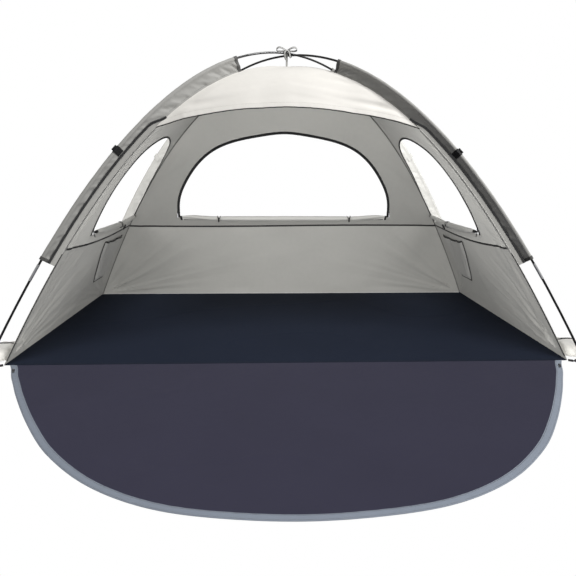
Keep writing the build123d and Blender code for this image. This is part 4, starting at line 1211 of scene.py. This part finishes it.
def ground_sheet(name, poly, step, mat, z0, body, wave):
    v2, f = fill(poly, [], step)
    z = z0 + wave(v2[:, 0], v2[:, 1])
    v = np.stack([v2[:, 0], v2[:, 1], z], -1)
    f = flip_to(v, f, (0, 0, 10))
    m = len(v)
    e = np.concatenate([f[:, [0, 1]], f[:, [1, 2]], f[:, [2, 0]]])
    key = np.sort(e, 1) @ np.array([m + 1, 1])
    _, first, count = np.unique(key, return_index=True, return_counts=True)
    rim = e[first[count == 1]]
    vb = v.copy()
    vb[:, 2] = np.maximum(v[:, 2] - 0.0011, 0.0002)
    faces = [tuple(r) for r in f] + [tuple(r[::-1] + m) for r in f] + [(b, a, a + m, b + m) for a, b in rim]
    return make(name, np.concatenate([v, vb]), faces, mat, body, np.concatenate([v2, v2]))


W2, D2 = HW - 0.0015, HD
rect = np.array([(-W2, YM - D2 + 0.0025), (W2, YM - D2 + 0.0025), (W2, YM + D2 - 0.003), (-W2, YM + D2 - 0.003)])
rect = np.concatenate([np.linspace(rect[i], rect[(i + 1) % 4], 120, endpoint=False) for i in range(4)])
floor_edge = lambda x, y: step01(np.minimum.reduce([W2 - np.abs(x), y - (YM - D2), YM + D2 - y]), 0.05)
floor = ground_sheet("floor_cloth_sheet", rect, 0.013, FLOOR, 0.0014, "root", lambda x, y: ground_wave(x, y) * (0.25 + 0.75 * floor_edge(x, y)))
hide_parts("floor_sheet")

DOOR_PTS = [(1172, 1.5), (1150, 40), (1112, 118), (1066, 200), (1023, 276), (981, 346), (903, 470), (828, 580), (753, 680),
            (675, 765), (589, 843), (487, 912), (342, 975), (203, 1004), (0, 1020)]
_full = np.array([(x, -y) for x, y in DOOR_PTS] + [(-x, -y) for x, y in DOOR_PTS[-2::-1]]) / 1000 + np.array([0, YF])
DOOR_EDGE = spline(_full, 900)
_dc = np.array([0, YF - 0.4])
d_out = 1 if np.linalg.norm(offset2(DOOR_EDGE, 0.01)[450] - _dc) > np.linalg.norm(DOOR_EDGE[450] - _dc) else -1
inner_edge = offset2(DOOR_EDGE, -0.0235 * d_out)
inner_edge[0, 1] = inner_edge[-1, 1] = YF - 0.0015
door_poly = np.concatenate([even(inner_edge, 420), np.linspace(inner_edge[-1], inner_edge[0], 160)[1:-1]])
door_wave = lambda x, y: ground_wave(x + 3.1, y) * (0.2 + 0.8 * step01(seg_distance(np.stack([x, y], -1), even(inner_edge, 160))[0], 0.06)) * (0.3 + 0.7 * step01(YF - y, 0.08))
door = ground_sheet("door_cloth_sheet", door_poly, 0.012, DOOR, 0.0013, "door", door_wave)
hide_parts("door_panel")
# binding folded over the edge of the door, with two rows of stitches
n_b = 700
be = even(DOOR_EDGE, n_b)
run = np.linspace(0, length_of(be), n_b)
sec = [(-0.0250, 0.0012), (-0.0246, 0.0021), (-0.0130, 0.0027), (-0.0030, 0.0026), (-0.0006, 0.0021), (0.0000, 0.0014), (-0.0008, 0.0006), (-0.0030, 0.0003), (-0.0130, 0.0002), (-0.0244, 0.0002), (-0.0249, 0.0005)]
cols = []
for g, z in sec:
    p = offset2(be, g * d_out)
    pucker = 0.00045 * vnoise(run * 70, g * 60, 301) * (1 if z > 0.001 else 0) + (0.0004 * vnoise(run * 16, 0.3, 302) if z > 0.001 else 0)
    cols.append(np.stack([p[:, 0] + 0 * run, p[:, 1], z + np.abs(pucker)], -1))
v = np.stack(cols, 1)
v[:, :, 1] = np.minimum(v[:, :, 1], YF - 0.0006)
n, k = v.shape[:2]
f = [tuple(r) for r in grid_faces(n, k, wrap=True)] + [tuple(range(k))[::-1], tuple((n - 1) * k + np.arange(k))]
uvb = np.stack([np.repeat(run, k), np.tile(np.arange(k) * 0.004, n)], -1)
binding = make("door_binding_tape", v.reshape(-1, 3), f, BIND, "door", uvb, sharp=60)
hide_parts("door_binding")
rows = []
for g in (-0.0042, -0.0212):
    p = offset2(be, g * d_out)[4:-4]
    rows.append(stitch_mesh(np.stack([p[:, 0], p[:, 1], np.full(len(p), 0.00285)], -1), np.array([0, 0, 1.0]), pitch=0.0050, size=(0.0036, 0.0010, 0.0007)))
v, f = merge(rows)
binding_thread = make("door_binding_stitches", v, f, THREAD, "door", sharp=0)
# a hem of stitches across the hinge line
rows = []
for y in (YF + 0.008, YF + 0.016):
    xs = np.linspace(-1.165, 1.165, 700)
    zz = 0.0014 + ground_wave(xs, np.full_like(xs, y)) * (0.25 + 0.75 * floor_edge(xs, np.full_like(xs, y))) + 0.0002
    rows.append(stitch_mesh(np.stack([xs, np.full_like(xs, y), zz], -1), np.array([0, 0, 1.0]), pitch=0.0050, size=(0.0036, 0.0010, 0.0006)))
v, f = merge(rows)
floor_thread = make("floor_stitches", v, f, THREAD_DARK, "root", sharp=0)
hx_ = np.linspace(-1.168, 1.168, 60)
hinge_strip = make("floor_hinge_strip", *tube(np.stack([hx_, np.full(60, YF + 0.0005), np.full(60, 0.0007)], -1), np.array([0, 0, 1.0]), flat_section(0.0036, 0.0009)), DOOR, "root", sharp=40)

# ------------------------------------------------------------------ rolled window flaps
HEM_Z = 0.503
FLAPS = {"back": (0.0, 0.640, (-0.400, 0.400)), "left": (0.7825, 0.3575, (0.800,)), "right": (0.7825, 0.3575, (0.800,))}


def wall_frame(side, along):
    """Hem point of a window flap with its directions: up the wall, inward, along."""
    half = SIDES[side][0] - 0.002
    rise = RISE - 0.002
    h = {"back": np.array([0, 1.0, 0]), "left": np.array([-1.0, 0, 0]), "right": np.array([1.0, 0, 0])}[side]
    root = math.sqrt(1 - HEM_Z / rise)
    t = h * (-half / (2 * rise * root)) + np.array([0, 0, 1.0])
    t /= np.linalg.norm(t)
    n = -h + np.array([0, 0, -half / (2 * rise * root)])
    n /= np.linalg.norm(n)
    base = np.array([along, YM, HEM_Z]) if side == "back" else np.array([0, YF + along, HEM_Z])
    return base + h * half * root + n * 0.0024, t, n


def droop(side, a):
    """How far the roll is lifted off the hem along its length."""
    if side == "back":
        e = np.abs(a)
        return np.where(e < 0.4, -0.0015 * np.cos(np.clip(e / 0.4, 0, 1) * math.pi / 2) ** 1.2, 0.017 * step01(e - 0.4, 0.24))
    return 0.026 * step01(a - 0.82, 0.30) + 0.006 * step01(0.52 - a, 0.09)


for side, (mid, half_len, at) in FLAPS.items():
    pts = np.array(BACK_PTS if side == "back" else SIDE_PTS, float) / 1000
    c = spline(pts, 400)
    base_z = c[0, 1]
    # height of the flap, measured up the wall from the hem, at each place along it
    N = 200 if side == "back" else 150
    aa = np.linspace(mid - half_len + 0.001, mid + half_len - 0.001, N)
    top = np.array([np.interp(0, [0], [0])] * N)
    order = []
    for i, a in enumerate(aa):
        cross = []
        for (x0, z0), (x1, z1) in zip(c[:-1], c[1:]):
            if (x0 - a) * (x1 - a) <= 0 and x0 != x1:
                cross.append(z0 + (z1 - z0) * (a - x0) / (x1 - x0))
        top[i] = max(cross) if cross else base_z + 0.02
    s_hem = float(s_of_z(side, HEM_Z))
    h_cloth = np.maximum(s_hem - s_of_z(side, top), 0.03)
    rc, pitch = 0.0024, 0.00118
    R_out = np.sqrt(rc ** 2 + pitch * h_cloth / math.pi)
    R_out = np.minimum(R_out, 0.0145)
    ends = np.minimum(aa - aa[0], aa[-1] - aa)
    R_out = np.maximum(R_out * (0.55 + 0.45 * step01(ends, 0.075)), 0.0052)
    kk = np.ones(9) / 9
    R_s = np.convolve(np.pad(R_out, 4, mode="edge"), kk, mode="valid")
    M = 190 if side == "back" else 180
    head = 10
    hinge, t_dir, n_dir = wall_frame(side, mid)
    a_dir = np.array([1.0, 0, 0]) if side == "back" else np.array([0, 1.0, 0])
    th_total = (R_s - rc) / pitch * 2 * math.pi
    dr = droop(side, aa)
    seed = {"back": 401, "left": 421, "right": 421}[side]
    cin = R_s * 1.14 + 0.0012
    cup = R_s * 1.16 + 0.0024 + dr
    cols = []
    start = math.radians(-128)          # where the cloth leaves the roll for the hem
    for j in range(M):
        tt = (j / (M - 1))
        th = th_total * tt
        r = R_s - pitch * th / (2 * math.pi)
        ang = start + th
        lump = 1 + 0.05 * vnoise(aa * 13, np.cos(ang) * 1.3 + 4, seed) + 0.03 * vnoise(aa * 31, np.sin(ang) * 2.1 + 9, seed + 1)
        # the loops draw the roll in
        for k in at:
            lump = lump - 0.10 * np.exp(-((aa - k) / 0.020) ** 2)
        squeeze = 1 + 0.06 * vnoise(aa * 4.0, 0.5, seed + 2)
        x = cin + r * lump * np.cos(ang) * squeeze
        y = cup + r * lump * np.sin(ang) / squeeze
        cols.append(np.stack([x, y], -1))
    lead = []
    first = cols[0]
    for j in range(head):
        w = j / head
        px = first[:, 0] * w + 0.0
        py = first[:, 1] * w
        bow = 0.0008 * math.sin(math.pi * w)
        lead.append(np.stack([px + 0 * w, py - bow + 0.0005 * math.sin(math.pi * w) * vnoise(aa * 38, w * 2, seed + 3)], -1))
    allc = lead + cols
    sec2 = np.stack(allc, 1)             # N x (head + M) x 2
    base = hinge + a_dir * (aa - mid)[:, None]
    v = base[:, None] + n_dir * sec2[..., :1] + t_dir * sec2[..., 1:]
    n, k = v.shape[:2]
    f = grid_faces(n, k)
    cloth_w = np.linalg.norm(np.diff(v, axis=1), axis=2)
    arcs = np.concatenate([np.zeros((n, 1)), np.cumsum(cloth_w, axis=1)], 1)
    uv = np.stack([np.broadcast_to(aa[:, None], (n, k)), arcs], -1).reshape(-1, 2)
    vv, ff, uv2 = thicken(v.reshape(-1, 3), f, 0.0006, uv)
    flap = make(f"{side}_flap_cloth", vv, ff, ROLLED, f"{side}_flap", uv2, sharp=70)
    # the flap's own half of the zip runs along its edges and comes round with each turn
    flap.data.materials.append(TAPE)
    centres = np.array([p.center for p in flap.data.polygons])
    along_c = centres[:, 0] if side == "back" else centres[:, 1] - YF
    index = (np.abs(along_c - mid) > half_len - 0.016).astype(np.int32)
    flap.data.polygons.foreach_set("material_index", index)
    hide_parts(f"{side}_flap_roll")
    area = float(np.linalg.norm(np.cross(v[1:, :-1] - v[:-1, :-1], v[:-1, 1:] - v[:-1, :-1]), axis=-1).sum())
    hem_line = base + n_dir * 0.0004
    v2_, f2_ = tube((hem_line + t_dir * 0.0046 + n_dir * 0.0004)[3:-3], n_dir, flat_section(0.0082, 0.0014))
    hem = make(f"{side}_flap_hem_binding", v2_, f2_, SEAMTAPE, f"{side}_flap", sharp=40)
    round(float(np.trapezoid(h_cloth, aa)) if hasattr(np, "trapezoid") else float(np.trapz(h_cloth, aa)), 4)

    # elastic loops: two strands over the roll that meet at the toggle
    strands = []
    for k in at:
        hp, t2, n2 = wall_frame(side, k)
        hp = hp + (a_dir * 0)
        ci, cu, r = (float(np.interp(k, aa, q)) for q in (cin, cup, R_s * 0.98 + 0.0016))
        for s_ in (-1, 1):
            pts3 = []
            for w in np.linspace(0, 1, 26):
                ang = math.radians(140 - 140 * w)
                spread = s_ * 0.0105 * (math.sin(math.radians(140 - 140 * w)) ** 0.7 if w < 0.99 else 0)
                pts3.append(hp + n2 * (ci + r * math.cos(ang)) + t2 * (cu + r * math.sin(ang)) + a_dir * spread)
            strands.append(tube(np.array(pts3), a_dir, round_section(0.00135, 8)))
        pts3 = []
        for w in np.linspace(0, 1, 22):
            ang = math.radians(0 - 128 * w)
            pts3.append(hp + n2 * (ci + r * math.cos(ang)) + t2 * (cu + r * math.sin(ang)))
        strands.append(tube(np.array(pts3), a_dir, round_section(0.0018, 8)))
        stub = hp + n2 * (0.0205 + 0.0194) + t2 * 0.020
        near_end, far_end = hp + n2 * (ci + r - 0.0006) + t2 * cu, stub + n2 * 0.0105
        pts3 = [near_end + (far_end - near_end) * w for w in np.linspace(0, 1, 10)]
        strands.append(tube(np.array(pts3), t2, round_section(0.0014, 8)))
        ang = np.linspace(0, 2 * math.pi, 14, endpoint=False)
        knot = []
        for w, rr in ((0.0098, 0.0010), (0.0102, 0.0022), (0.0112, 0.0026), (0.0122, 0.0022), (0.0126, 0.0010)):
            knot.append([stub + n2 * w + (t2 * math.cos(q) + a_dir * math.sin(q)) * rr for q in ang])
        kv = np.array(knot).reshape(-1, 3)
        kf = [tuple(r_) for r_ in grid_faces(5, 14, wrap=True)] + [tuple(range(14))[::-1], tuple(56 + np.arange(14))]
        strands.append((kv, kf))
    v_, f_ = merge(strands)
    loops = make(f"{side}_flap_elastic", v_, f_, ELASTIC, f"{side}_flap", sharp=0)
    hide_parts(f"{side}_flap_loops")

# ------------------------------------------------------------------ pockets
for side, sx in (("left", -1), ("right", 1)):
    half = HW
    y0, y1, z0, z1 = 0.762, 1.078, 0.166, 0.420
    n_a, n_s = 120, 100
    ya = np.linspace(y0, y1, n_a) - HD
    s_top, s_bot = float(s_of_z(side, z1)), float(s_of_z(side, z0))
    k_a, k_s = np.meshgrid(np.linspace(0, 1, n_a), np.linspace(0, 1, n_s), indexing="ij")
    along = ya[:, None] + 0.150 * (1 - k_a) * k_s ** 1.2 - 0.012 * k_a * k_s
    dip = 0.010 * np.sin(math.pi * k_a) * (1 - k_s) ** 2
    s_ = s_top + dip + (s_bot - s_top) * k_s
    side_in = np.minimum(k_a, 1 - k_a) * (y1 - y0)
    bell = step01(side_in, 0.030) * step01((1 - k_s) * (s_bot - s_top), 0.035)
    mouth = 1 - 0.35 * np.exp(-k_s / 0.05)
    folds = 0.0050 * vnoise(k_a * 8 + 0.6 * k_s, k_s * 1.3, 501) + 0.0022 * vnoise(k_a * 20, k_s * 2.0, 502)
    off = 0.0034 + bell * (0.0124 * mouth + folds * (0.4 + 0.6 * (1 - k_s)))
    off = np.clip(off, 0.0030, 0.0178)
    base = sag(side, along, s_)
    v = place(side, along.ravel(), s_.ravel(), (SKIN + np.maximum(base, -0.001) + off).ravel()).reshape(n_a, n_s, 3)
    f = grid_faces(n_a, n_s)
    uv = np.stack([along.ravel(), s_.ravel()], -1)
    flatv = v.reshape(-1, 3)
    fn = np.cross(flatv[f[0][1]] - flatv[f[0][0]], flatv[f[0][2]] - flatv[f[0][0]])
    if (fn * (INSIDE - flatv[f[0][0]])).sum() < 0:
        f = f[:, ::-1]
    vv, ff, uv2 = thicken(flatv, f, 0.0008, uv)
    pocket = make(f"{side}_pocket_cloth", vv, ff, POCKET, "root", uv2)
    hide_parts(f"{side}_pocket")
    # bound edges: across the mouth, and down both sides and along the bottom
    nrm = vertex_normals(flatv, f).reshape(n_a, n_s, 3)
    binds = []
    for line, nn, w in ((v[:, 0], nrm[:, 0], 0.010), (np.concatenate([v[0, :-1], v[:-1, -1], v[-1, ::-1]]), np.concatenate([nrm[0, :-1], nrm[:-1, -1], nrm[-1, ::-1]]), 0.007)):
        nn = nn / np.linalg.norm(nn, axis=1)[:, None]
        binds.append(tube(line + nn * 0.0002, nn, flat_section(w, 0.0019)))
    bv, bf = merge(binds)
    bind = make(f"{side}_pocket_binding", bv, bf, SEAMTAPE, "root", sharp=40)

# ------------------------------------------------------------------ sand pouches
lo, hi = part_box("sand_pouches")
parts = []
for sx in (-1, 1):
    for at_, seed in ((0.128, 601), (1.172, 631)):
        cx, cy = sx * (HW + 0.066), YF + at_
        hx, hy, hz = 0.052, 0.088, 0.052
        nu, nv = 72, 34
        th = np.linspace(0, 2 * math.pi, nu, endpoint=False)
        rows3 = []
        prof = np.linspace(0, 1, nv)
        # rounded rectangle in plan, from the seam round its edge up over the crown, then down under
        def plan(a, sc):
            p = 3.2
            ca, sa = np.cos(a), np.sin(a)
            rr = (np.abs(ca) ** p + np.abs(sa) ** p) ** (-1 / p)
            return ca * rr * hx * sc, sa * rr * hy * sc
        for w in prof:                       # 0 bottom centre .. 1 top centre
            if w < 0.30:
                sc, z = 0.06 + 0.94 * (w / 0.30) ** 0.8 * 0.97, 0.0006
            elif w < 0.42:
                k = (w - 0.30) / 0.12
                sc, z = 0.97 + 0.03 * math.sin(k * math.pi / 2) - 0.0, 0.0006 + 0.010 * k
            else:
                k = (w - 0.42) / 0.58
                sc = math.cos(k * math.pi / 2) ** 0.42 if k < 0.995 else 0.03
                z = 0.0106 + (hz - 0.0150) * math.sin(k * math.pi / 2) ** 0.85
            x, y = plan(th, max(sc, 0.03))
            lump = 0.0030 * vnoise((x + cx) * 30, (y + cy) * 24, seed) + 0.0016 * vnoise((x + cx) * 70, (y + cy) * 60 + z * 40, seed + 1)
            gather = 0.0020 * vnoise(th * 9, w * 3, seed + 2) * (1 if 0.34 < w < 0.8 else 0.2)
            zz = z + (lump + gather if w > 0.42 else 0) * (1 - 0.3 * (w > 0.9))
            inwards = 1 - (0.02 * (1 + vnoise(th * 6, w * 2, seed + 3)) if w > 0.3 else 0)
            rows3.append(np.stack([cx + x * inwards, cy + y * inwards, np.clip(zz + 0 * x, 0.0006, hz - 0.0006)], -1))
        v = np.stack(rows3, 0)
        f = [tuple(r_) for r_ in grid_faces(nv, nu, wrap=True)] + [tuple(range(nu))[::-1], tuple((nv - 1) * nu + np.arange(nu))]
        name = f"{'left' if sx < 0 else 'right'}_{'front' if at_ < 0.5 else 'rear'}_pouch"
        pouch = make(name, v.reshape(-1, 3), f, POUCH, "root", sharp=60)
        if sx < 0 and at_ < 0.5:
            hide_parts("sand_pouches")
        # seam round the edge, flap sewn to the floor, and a drawstring mouth
        seam_pts = np.concatenate([v[13], v[13][:1]])
        sv_, sf_ = tube(seam_pts, np.array([0, 0, 1.0]), flat_section(0.0050, 0.0014))
        xs_ = np.linspace(sx * (HW + 0.001), sx * (HW + 0.024), 10)
        ys_ = np.linspace(cy - 0.074, cy + 0.074, 40)
        gx, gy = np.meshgrid(xs_, ys_, indexing="ij")
        gz = 0.0012 + 0.0016 * np.abs(vnoise(gy * 60, gx * 30, seed + 5)) + 0.004 * step01(np.abs(gx) - HW - 0.010, 0.015)
        gf = grid_faces(10, 40)
        gv = np.stack([gx, gy, gz], -1).reshape(-1, 3)
        gf = flip_to(gv, gf, (0, 0, 5)) if True else gf
        gv, gfaces, _ = thicken(gv, gf, 0.0010)
        mv, mf = merge([(sv_, sf_), (gv, gfaces)])
        mv[:, 2] = np.maximum(mv[:, 2], 0.0003)
        trim = make(name + "_seam_and_flap", mv, mf, POUCH, "root", sharp=50)
        mouth_y = cy + (0.030 if at_ < 0.5 else -0.030)
        line = np.stack([np.linspace(cx - 0.036, cx + 0.036, 40), np.full(40, mouth_y), np.zeros(40)], -1)
        tree = KDTree(v.shape[0] * v.shape[1])
        fv = v.reshape(-1, 3)
        for i, p in enumerate(fv):
            tree.insert((p[0], p[1], 0 if p[2] > 0.012 else 9), i)
        tree.balance()
        line[:, 2] = [fv[tree.find((p[0], p[1], 0))[1]][2] for p in line]
        line[:, 2] = np.convolve(np.pad(line[:, 2], 3, mode="edge"), np.ones(7) / 7, mode="valid") + 0.0006
        zv, zf = tube(line, np.array([0, 0, 1.0]), flat_section(0.012, 0.0016))
        tv, tf = teeth(line + np.array([0, 0, 0.0009]), np.broadcast_to(np.array([0, 0, 1.0]), line.shape))
        closing = make(name + "_closure", *merge([(zv, zf), (tv, tf)]), TAPE, "root", sharp=40)

# ------------------------------------------------------------------ bow that ties the fabric to the crossing
KNOT = POLE_RISE + STAGGER + 0.00475 + 0.0012


def ribbon(points, w, t, across=(0, 0.62, 0.785)):
    """A length of tape with a dark woven edge each side."""
    p = spline(np.asarray(points, float), 60)
    tt = np.gradient(p, axis=0)
    tt /= np.linalg.norm(tt, axis=1)[:, None]
    side_ = np.broadcast_to(np.array(across, float), p.shape)
    nn = np.cross(side_, tt)
    nn /= np.linalg.norm(nn, axis=1)[:, None]
    ss = np.cross(tt, nn)
    for a in (-1, 1):
        edging.append(tube(p + ss * (a * w * 0.5), nn, flat_section(0.0024, t * 1.5)))
    return tube(p, nn, flat_section(w, t))


bow, edging = [], []
yk = YM - 0.002
for sx in (-1, 1):
    bow.append(ribbon([(sx * 0.002, yk - 0.004, KNOT + 0.006), (sx * 0.015, yk - 0.009, KNOT + 0.0125), (sx * 0.031, yk - 0.011, KNOT + 0.0185), (sx * 0.046, yk - 0.007, KNOT + 0.0165),
                       (sx * 0.050, yk, KNOT + 0.0095), (sx * 0.038, yk + 0.006, KNOT + 0.0055), (sx * 0.020, yk + 0.006, KNOT + 0.0050), (sx * 0.002, yk + 0.002, KNOT + 0.006)], 0.0085, 0.0012))
bow.append(ribbon([(-0.003, YM - 0.012, KNOT + 0.006), (-0.010, YM - 0.0165, KNOT - 0.006), (-0.009, YM - 0.0175, KNOT - 0.022), (-0.002, YM - 0.0170, KNOT - 0.038)], 0.0085, 0.0011, (1, 0, 0)))
bow.append(ribbon([(0.003, YM - 0.012, KNOT + 0.006), (0.012, YM - 0.0170, KNOT - 0.004), (0.014, YM - 0.0190, KNOT - 0.016), (0.020, YM - 0.0195, KNOT - 0.030)], 0.0085, 0.0011, (1, 0, 0)))
for sy in (-1, 1):
    # strands down each side of the crossing to the fabric
    bow.append(tube(np.array([(0.0, YM + sy * 0.0105 * k, z_) for k, z_ in ((0.2, KNOT + 0.004), (0.9, KNOT - 0.004), (1.0, KNOT - 0.02), (0.95, KNOT - 0.045), (0.85, RISE + 0.0008))]),
                    np.array([0, 1.0, 0]), flat_section(0.009, 0.0013)))
kn = []
for w, rx, ry in ((0.0, 0.004, 0.004), (0.0012, 0.0085, 0.0085), (0.0045, 0.0100, 0.0105), (0.0085, 0.0085, 0.0095), (0.0105, 0.004, 0.005)):
    q = np.linspace(0, 2 * math.pi, 26, endpoint=False)
    wob = 1 + 0.10 * np.sin(3 * q + w * 300)
    kn.append(np.stack([rx * np.cos(q) * wob, YM + ry * np.sin(q) * wob, KNOT + w + 0 * q], -1))
kv = np.stack(kn).reshape(-1, 3)
bow.append((kv, [tuple(r_) for r_ in grid_faces(5, 26, wrap=True)] + [tuple(range(26))[::-1], tuple(104 + np.arange(26))]))
bv, bf = merge(bow)
tie = make("ridge_bow", bv, bf, TIE, "root", sharp=50)
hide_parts("ridge_tie")
ev, ef = merge(edging)
tie_edges = make("ridge_bow_edging", ev, ef, THREAD_DARK, "root", sharp=50)

# ------------------------------------------------------------------ ground, light
gm, gnt, gb = new_mat("studio_floor")
gn = node(gnt, "ShaderNodeTexNoise", Scale=6.0, Detail=2.0)
gr = ramp(gnt, gn.outputs[0], [(0.3, (0.92, 0.92, 0.92)), (0.7, (0.95, 0.95, 0.95))])
gnt.links.new(gr.outputs[0], gb.inputs["Base Color"])
gb.inputs["Roughness"].default_value = 0.9
gb.inputs["Specular IOR Level"].default_value = 0.1
seen = gnt.nodes.new("ShaderNodeLightPath")
glow = gnt.nodes.new("ShaderNodeEmission")
glow.inputs["Color"].default_value = (1.0, 1.0, 1.0, 1)
glow.inputs["Strength"].default_value = 1.0
gmix = gnt.nodes.new("ShaderNodeMixShader")
gnt.links.new(seen.outputs["Is Camera Ray"], gmix.inputs[0])
gnt.links.new(gb.outputs[0], gmix.inputs[1])
gnt.links.new(glow.outputs[0], gmix.inputs[2])
gnt.links.new(gmix.outputs[0], gnt.nodes["Material Output"].inputs["Surface"])
me = bpy.data.meshes.new("studio_floor")
me.from_pydata([(-14, -14, -0.0004), (14, -14, -0.0004), (14, 14, -0.0004), (-14, 14, -0.0004)], [], [(0, 1, 2, 3)])
me.materials.append(gm)
ground = bpy.data.objects.new("studio_floor", me)
scene.collection.objects.link(ground)

world = bpy.data.worlds.new("studio")
world.use_nodes = True
wt = world.node_tree
bg = wt.nodes["Background"]
bg.inputs["Color"].default_value = (1.0, 1.0, 1.0, 1)
bg.inputs["Strength"].default_value = 0.27
backdrop = wt.nodes.new("ShaderNodeBackground")
backdrop.inputs["Color"].default_value = (1.0, 1.0, 1.0, 1)
backdrop.inputs["Strength"].default_value = 1.0
wp = wt.nodes.new("ShaderNodeLightPath")
wmix = wt.nodes.new("ShaderNodeMixShader")
wt.links.new(wp.outputs["Is Camera Ray"], wmix.inputs[0])
wt.links.new(bg.outputs[0], wmix.inputs[1])
wt.links.new(backdrop.outputs[0], wmix.inputs[2])
wt.links.new(wmix.outputs[0], wt.nodes["World Output"].inputs["Surface"])
scene.world = world


def lit(name, test):
    """Pieces one lamp of the studio is flagged onto."""
    c = bpy.data.collections.new(name)
    for o in scene.objects:
        if o.type == "MESH" and test(o.name):
            c.objects.link(o)
    return c


def area_light(name, at_, look, size_, power, onto, colour=(1, 1, 1)):
    d = bpy.data.lights.new(name, "AREA")
    d.shape = "RECTANGLE"
    d.size, d.size_y = size_
    d.energy = power
    d.color = colour
    o = bpy.data.objects.new(name, d)
    scene.collection.objects.link(o)
    o.location = at_
    o.rotation_mode = "QUATERNION"
    o.rotation_quaternion = (Vector(look) - Vector(at_)).to_track_quat("-Z", "Y")
    o.light_linking.receiver_collection = onto
    return o


OUTER = ("sleeve", "pole_", "front_roof", "front_arch", "ridge", "corner_strap", "corner_ring", "corner_pin", "guy", "shock", "binding_tape")
GROUNDED = ("floor_cloth", "floor_stitches", "floor_hinge", "door_")
is_outer = lambda n: any(k in n for k in OUTER)
is_ground = lambda n: any(k in n for k in GROUNDED)
area_light("key", (3.2, -1.4, 4.4), (0, 0.3, 0.8), (1.3, 1.3), 292, lit("key_on", is_outer))
inner = lit("fill_on", lambda n: n != "studio_floor" and not is_outer(n) and not is_ground(n))
lower = lit("lower_on", lambda n: n != "back_upper_cloth" and n in inner.objects)
area_light("fill_right", (2.0, -4.3, 1.9), (-0.3, 0.5, 0.45), (1.9, 1.9), 99, lower)
area_light("fill_left", (-2.2, -4.1, 1.7), (0.3, 0.5, 0.45), (1.9, 1.9), 113, lower)
area_light("low_front", (0.0, -3.4, 0.25), (0, 0.9, 0.9), (2.0, 0.4), 64, inner)
top = area_light("back_top", (0.0, -0.45, 0.95), (0, 0.45, 1.17), (1.5, 0.15), 8.9, lit("top_on", lambda n: n == "back_upper_cloth"))
top.light_linking.blocker_collection = lit("top_block", lambda n: n == "back_upper_cloth")


def glow_lamp(name, at_, power, onto):
    d = bpy.data.lights.new(name, "POINT")
    d.energy, d.shadow_soft_size = power, 0.20
    o = bpy.data.objects.new(name, d)
    scene.collection.objects.link(o)
    o.location = at_
    o.visible_camera = False
    o.light_linking.receiver_collection = onto


glow_lamp("window_glow", (0.0, -0.20, 0.48), 22.5, lit("glow_on", lambda n: n in ("left_upper_cloth", "right_upper_cloth")))
glow_lamp("wall_glow", (0.0, -0.30, 0.55), 14.0, lit("glow_walls", lambda n: n in ("left_lower_cloth", "right_lower_cloth")))
rear = lit("rear_on", lambda n: (n.startswith("rear_") and "sleeve" in n) or n == "rear_guy_out_tabs")
rear_lamp = area_light("rear_glow", (0.0, -4.5, 3.0), (0, 0.8, 0.7), (2.0, 1.0), 620, rear)
rear_lamp.light_linking.blocker_collection = rear
area_light("overhead", (0.0, -1.4, 5.0), (0, -0.2, 0), (3.0, 2.4), 168, lit("overhead_on", is_ground))
shell = lit("shell_on", lambda n: n.endswith(("_lower_cloth", "_upper_cloth")) or n.startswith("rear_") or "pouch" in n or "wall_seam_lap" in n)
area_light("behind_left", (-3.4, 4.6, 2.6), (-0.2, 0.5, 0.5), (2.2, 2.2), 120, shell)
area_light("behind_right", (3.4, 4.2, 2.9), (0.2, 0.5, 0.5), (2.2, 2.2), 135, shell)
glow_lamp("floor_glow", (0.0, -1.2, 0.9), 15.0, lit("floor_on", lambda n: n.startswith("floor_")))
scene.view_settings.view_transform = "Standard"
scene.view_settings.look = "None"
scene.view_settings.exposure = 0.0
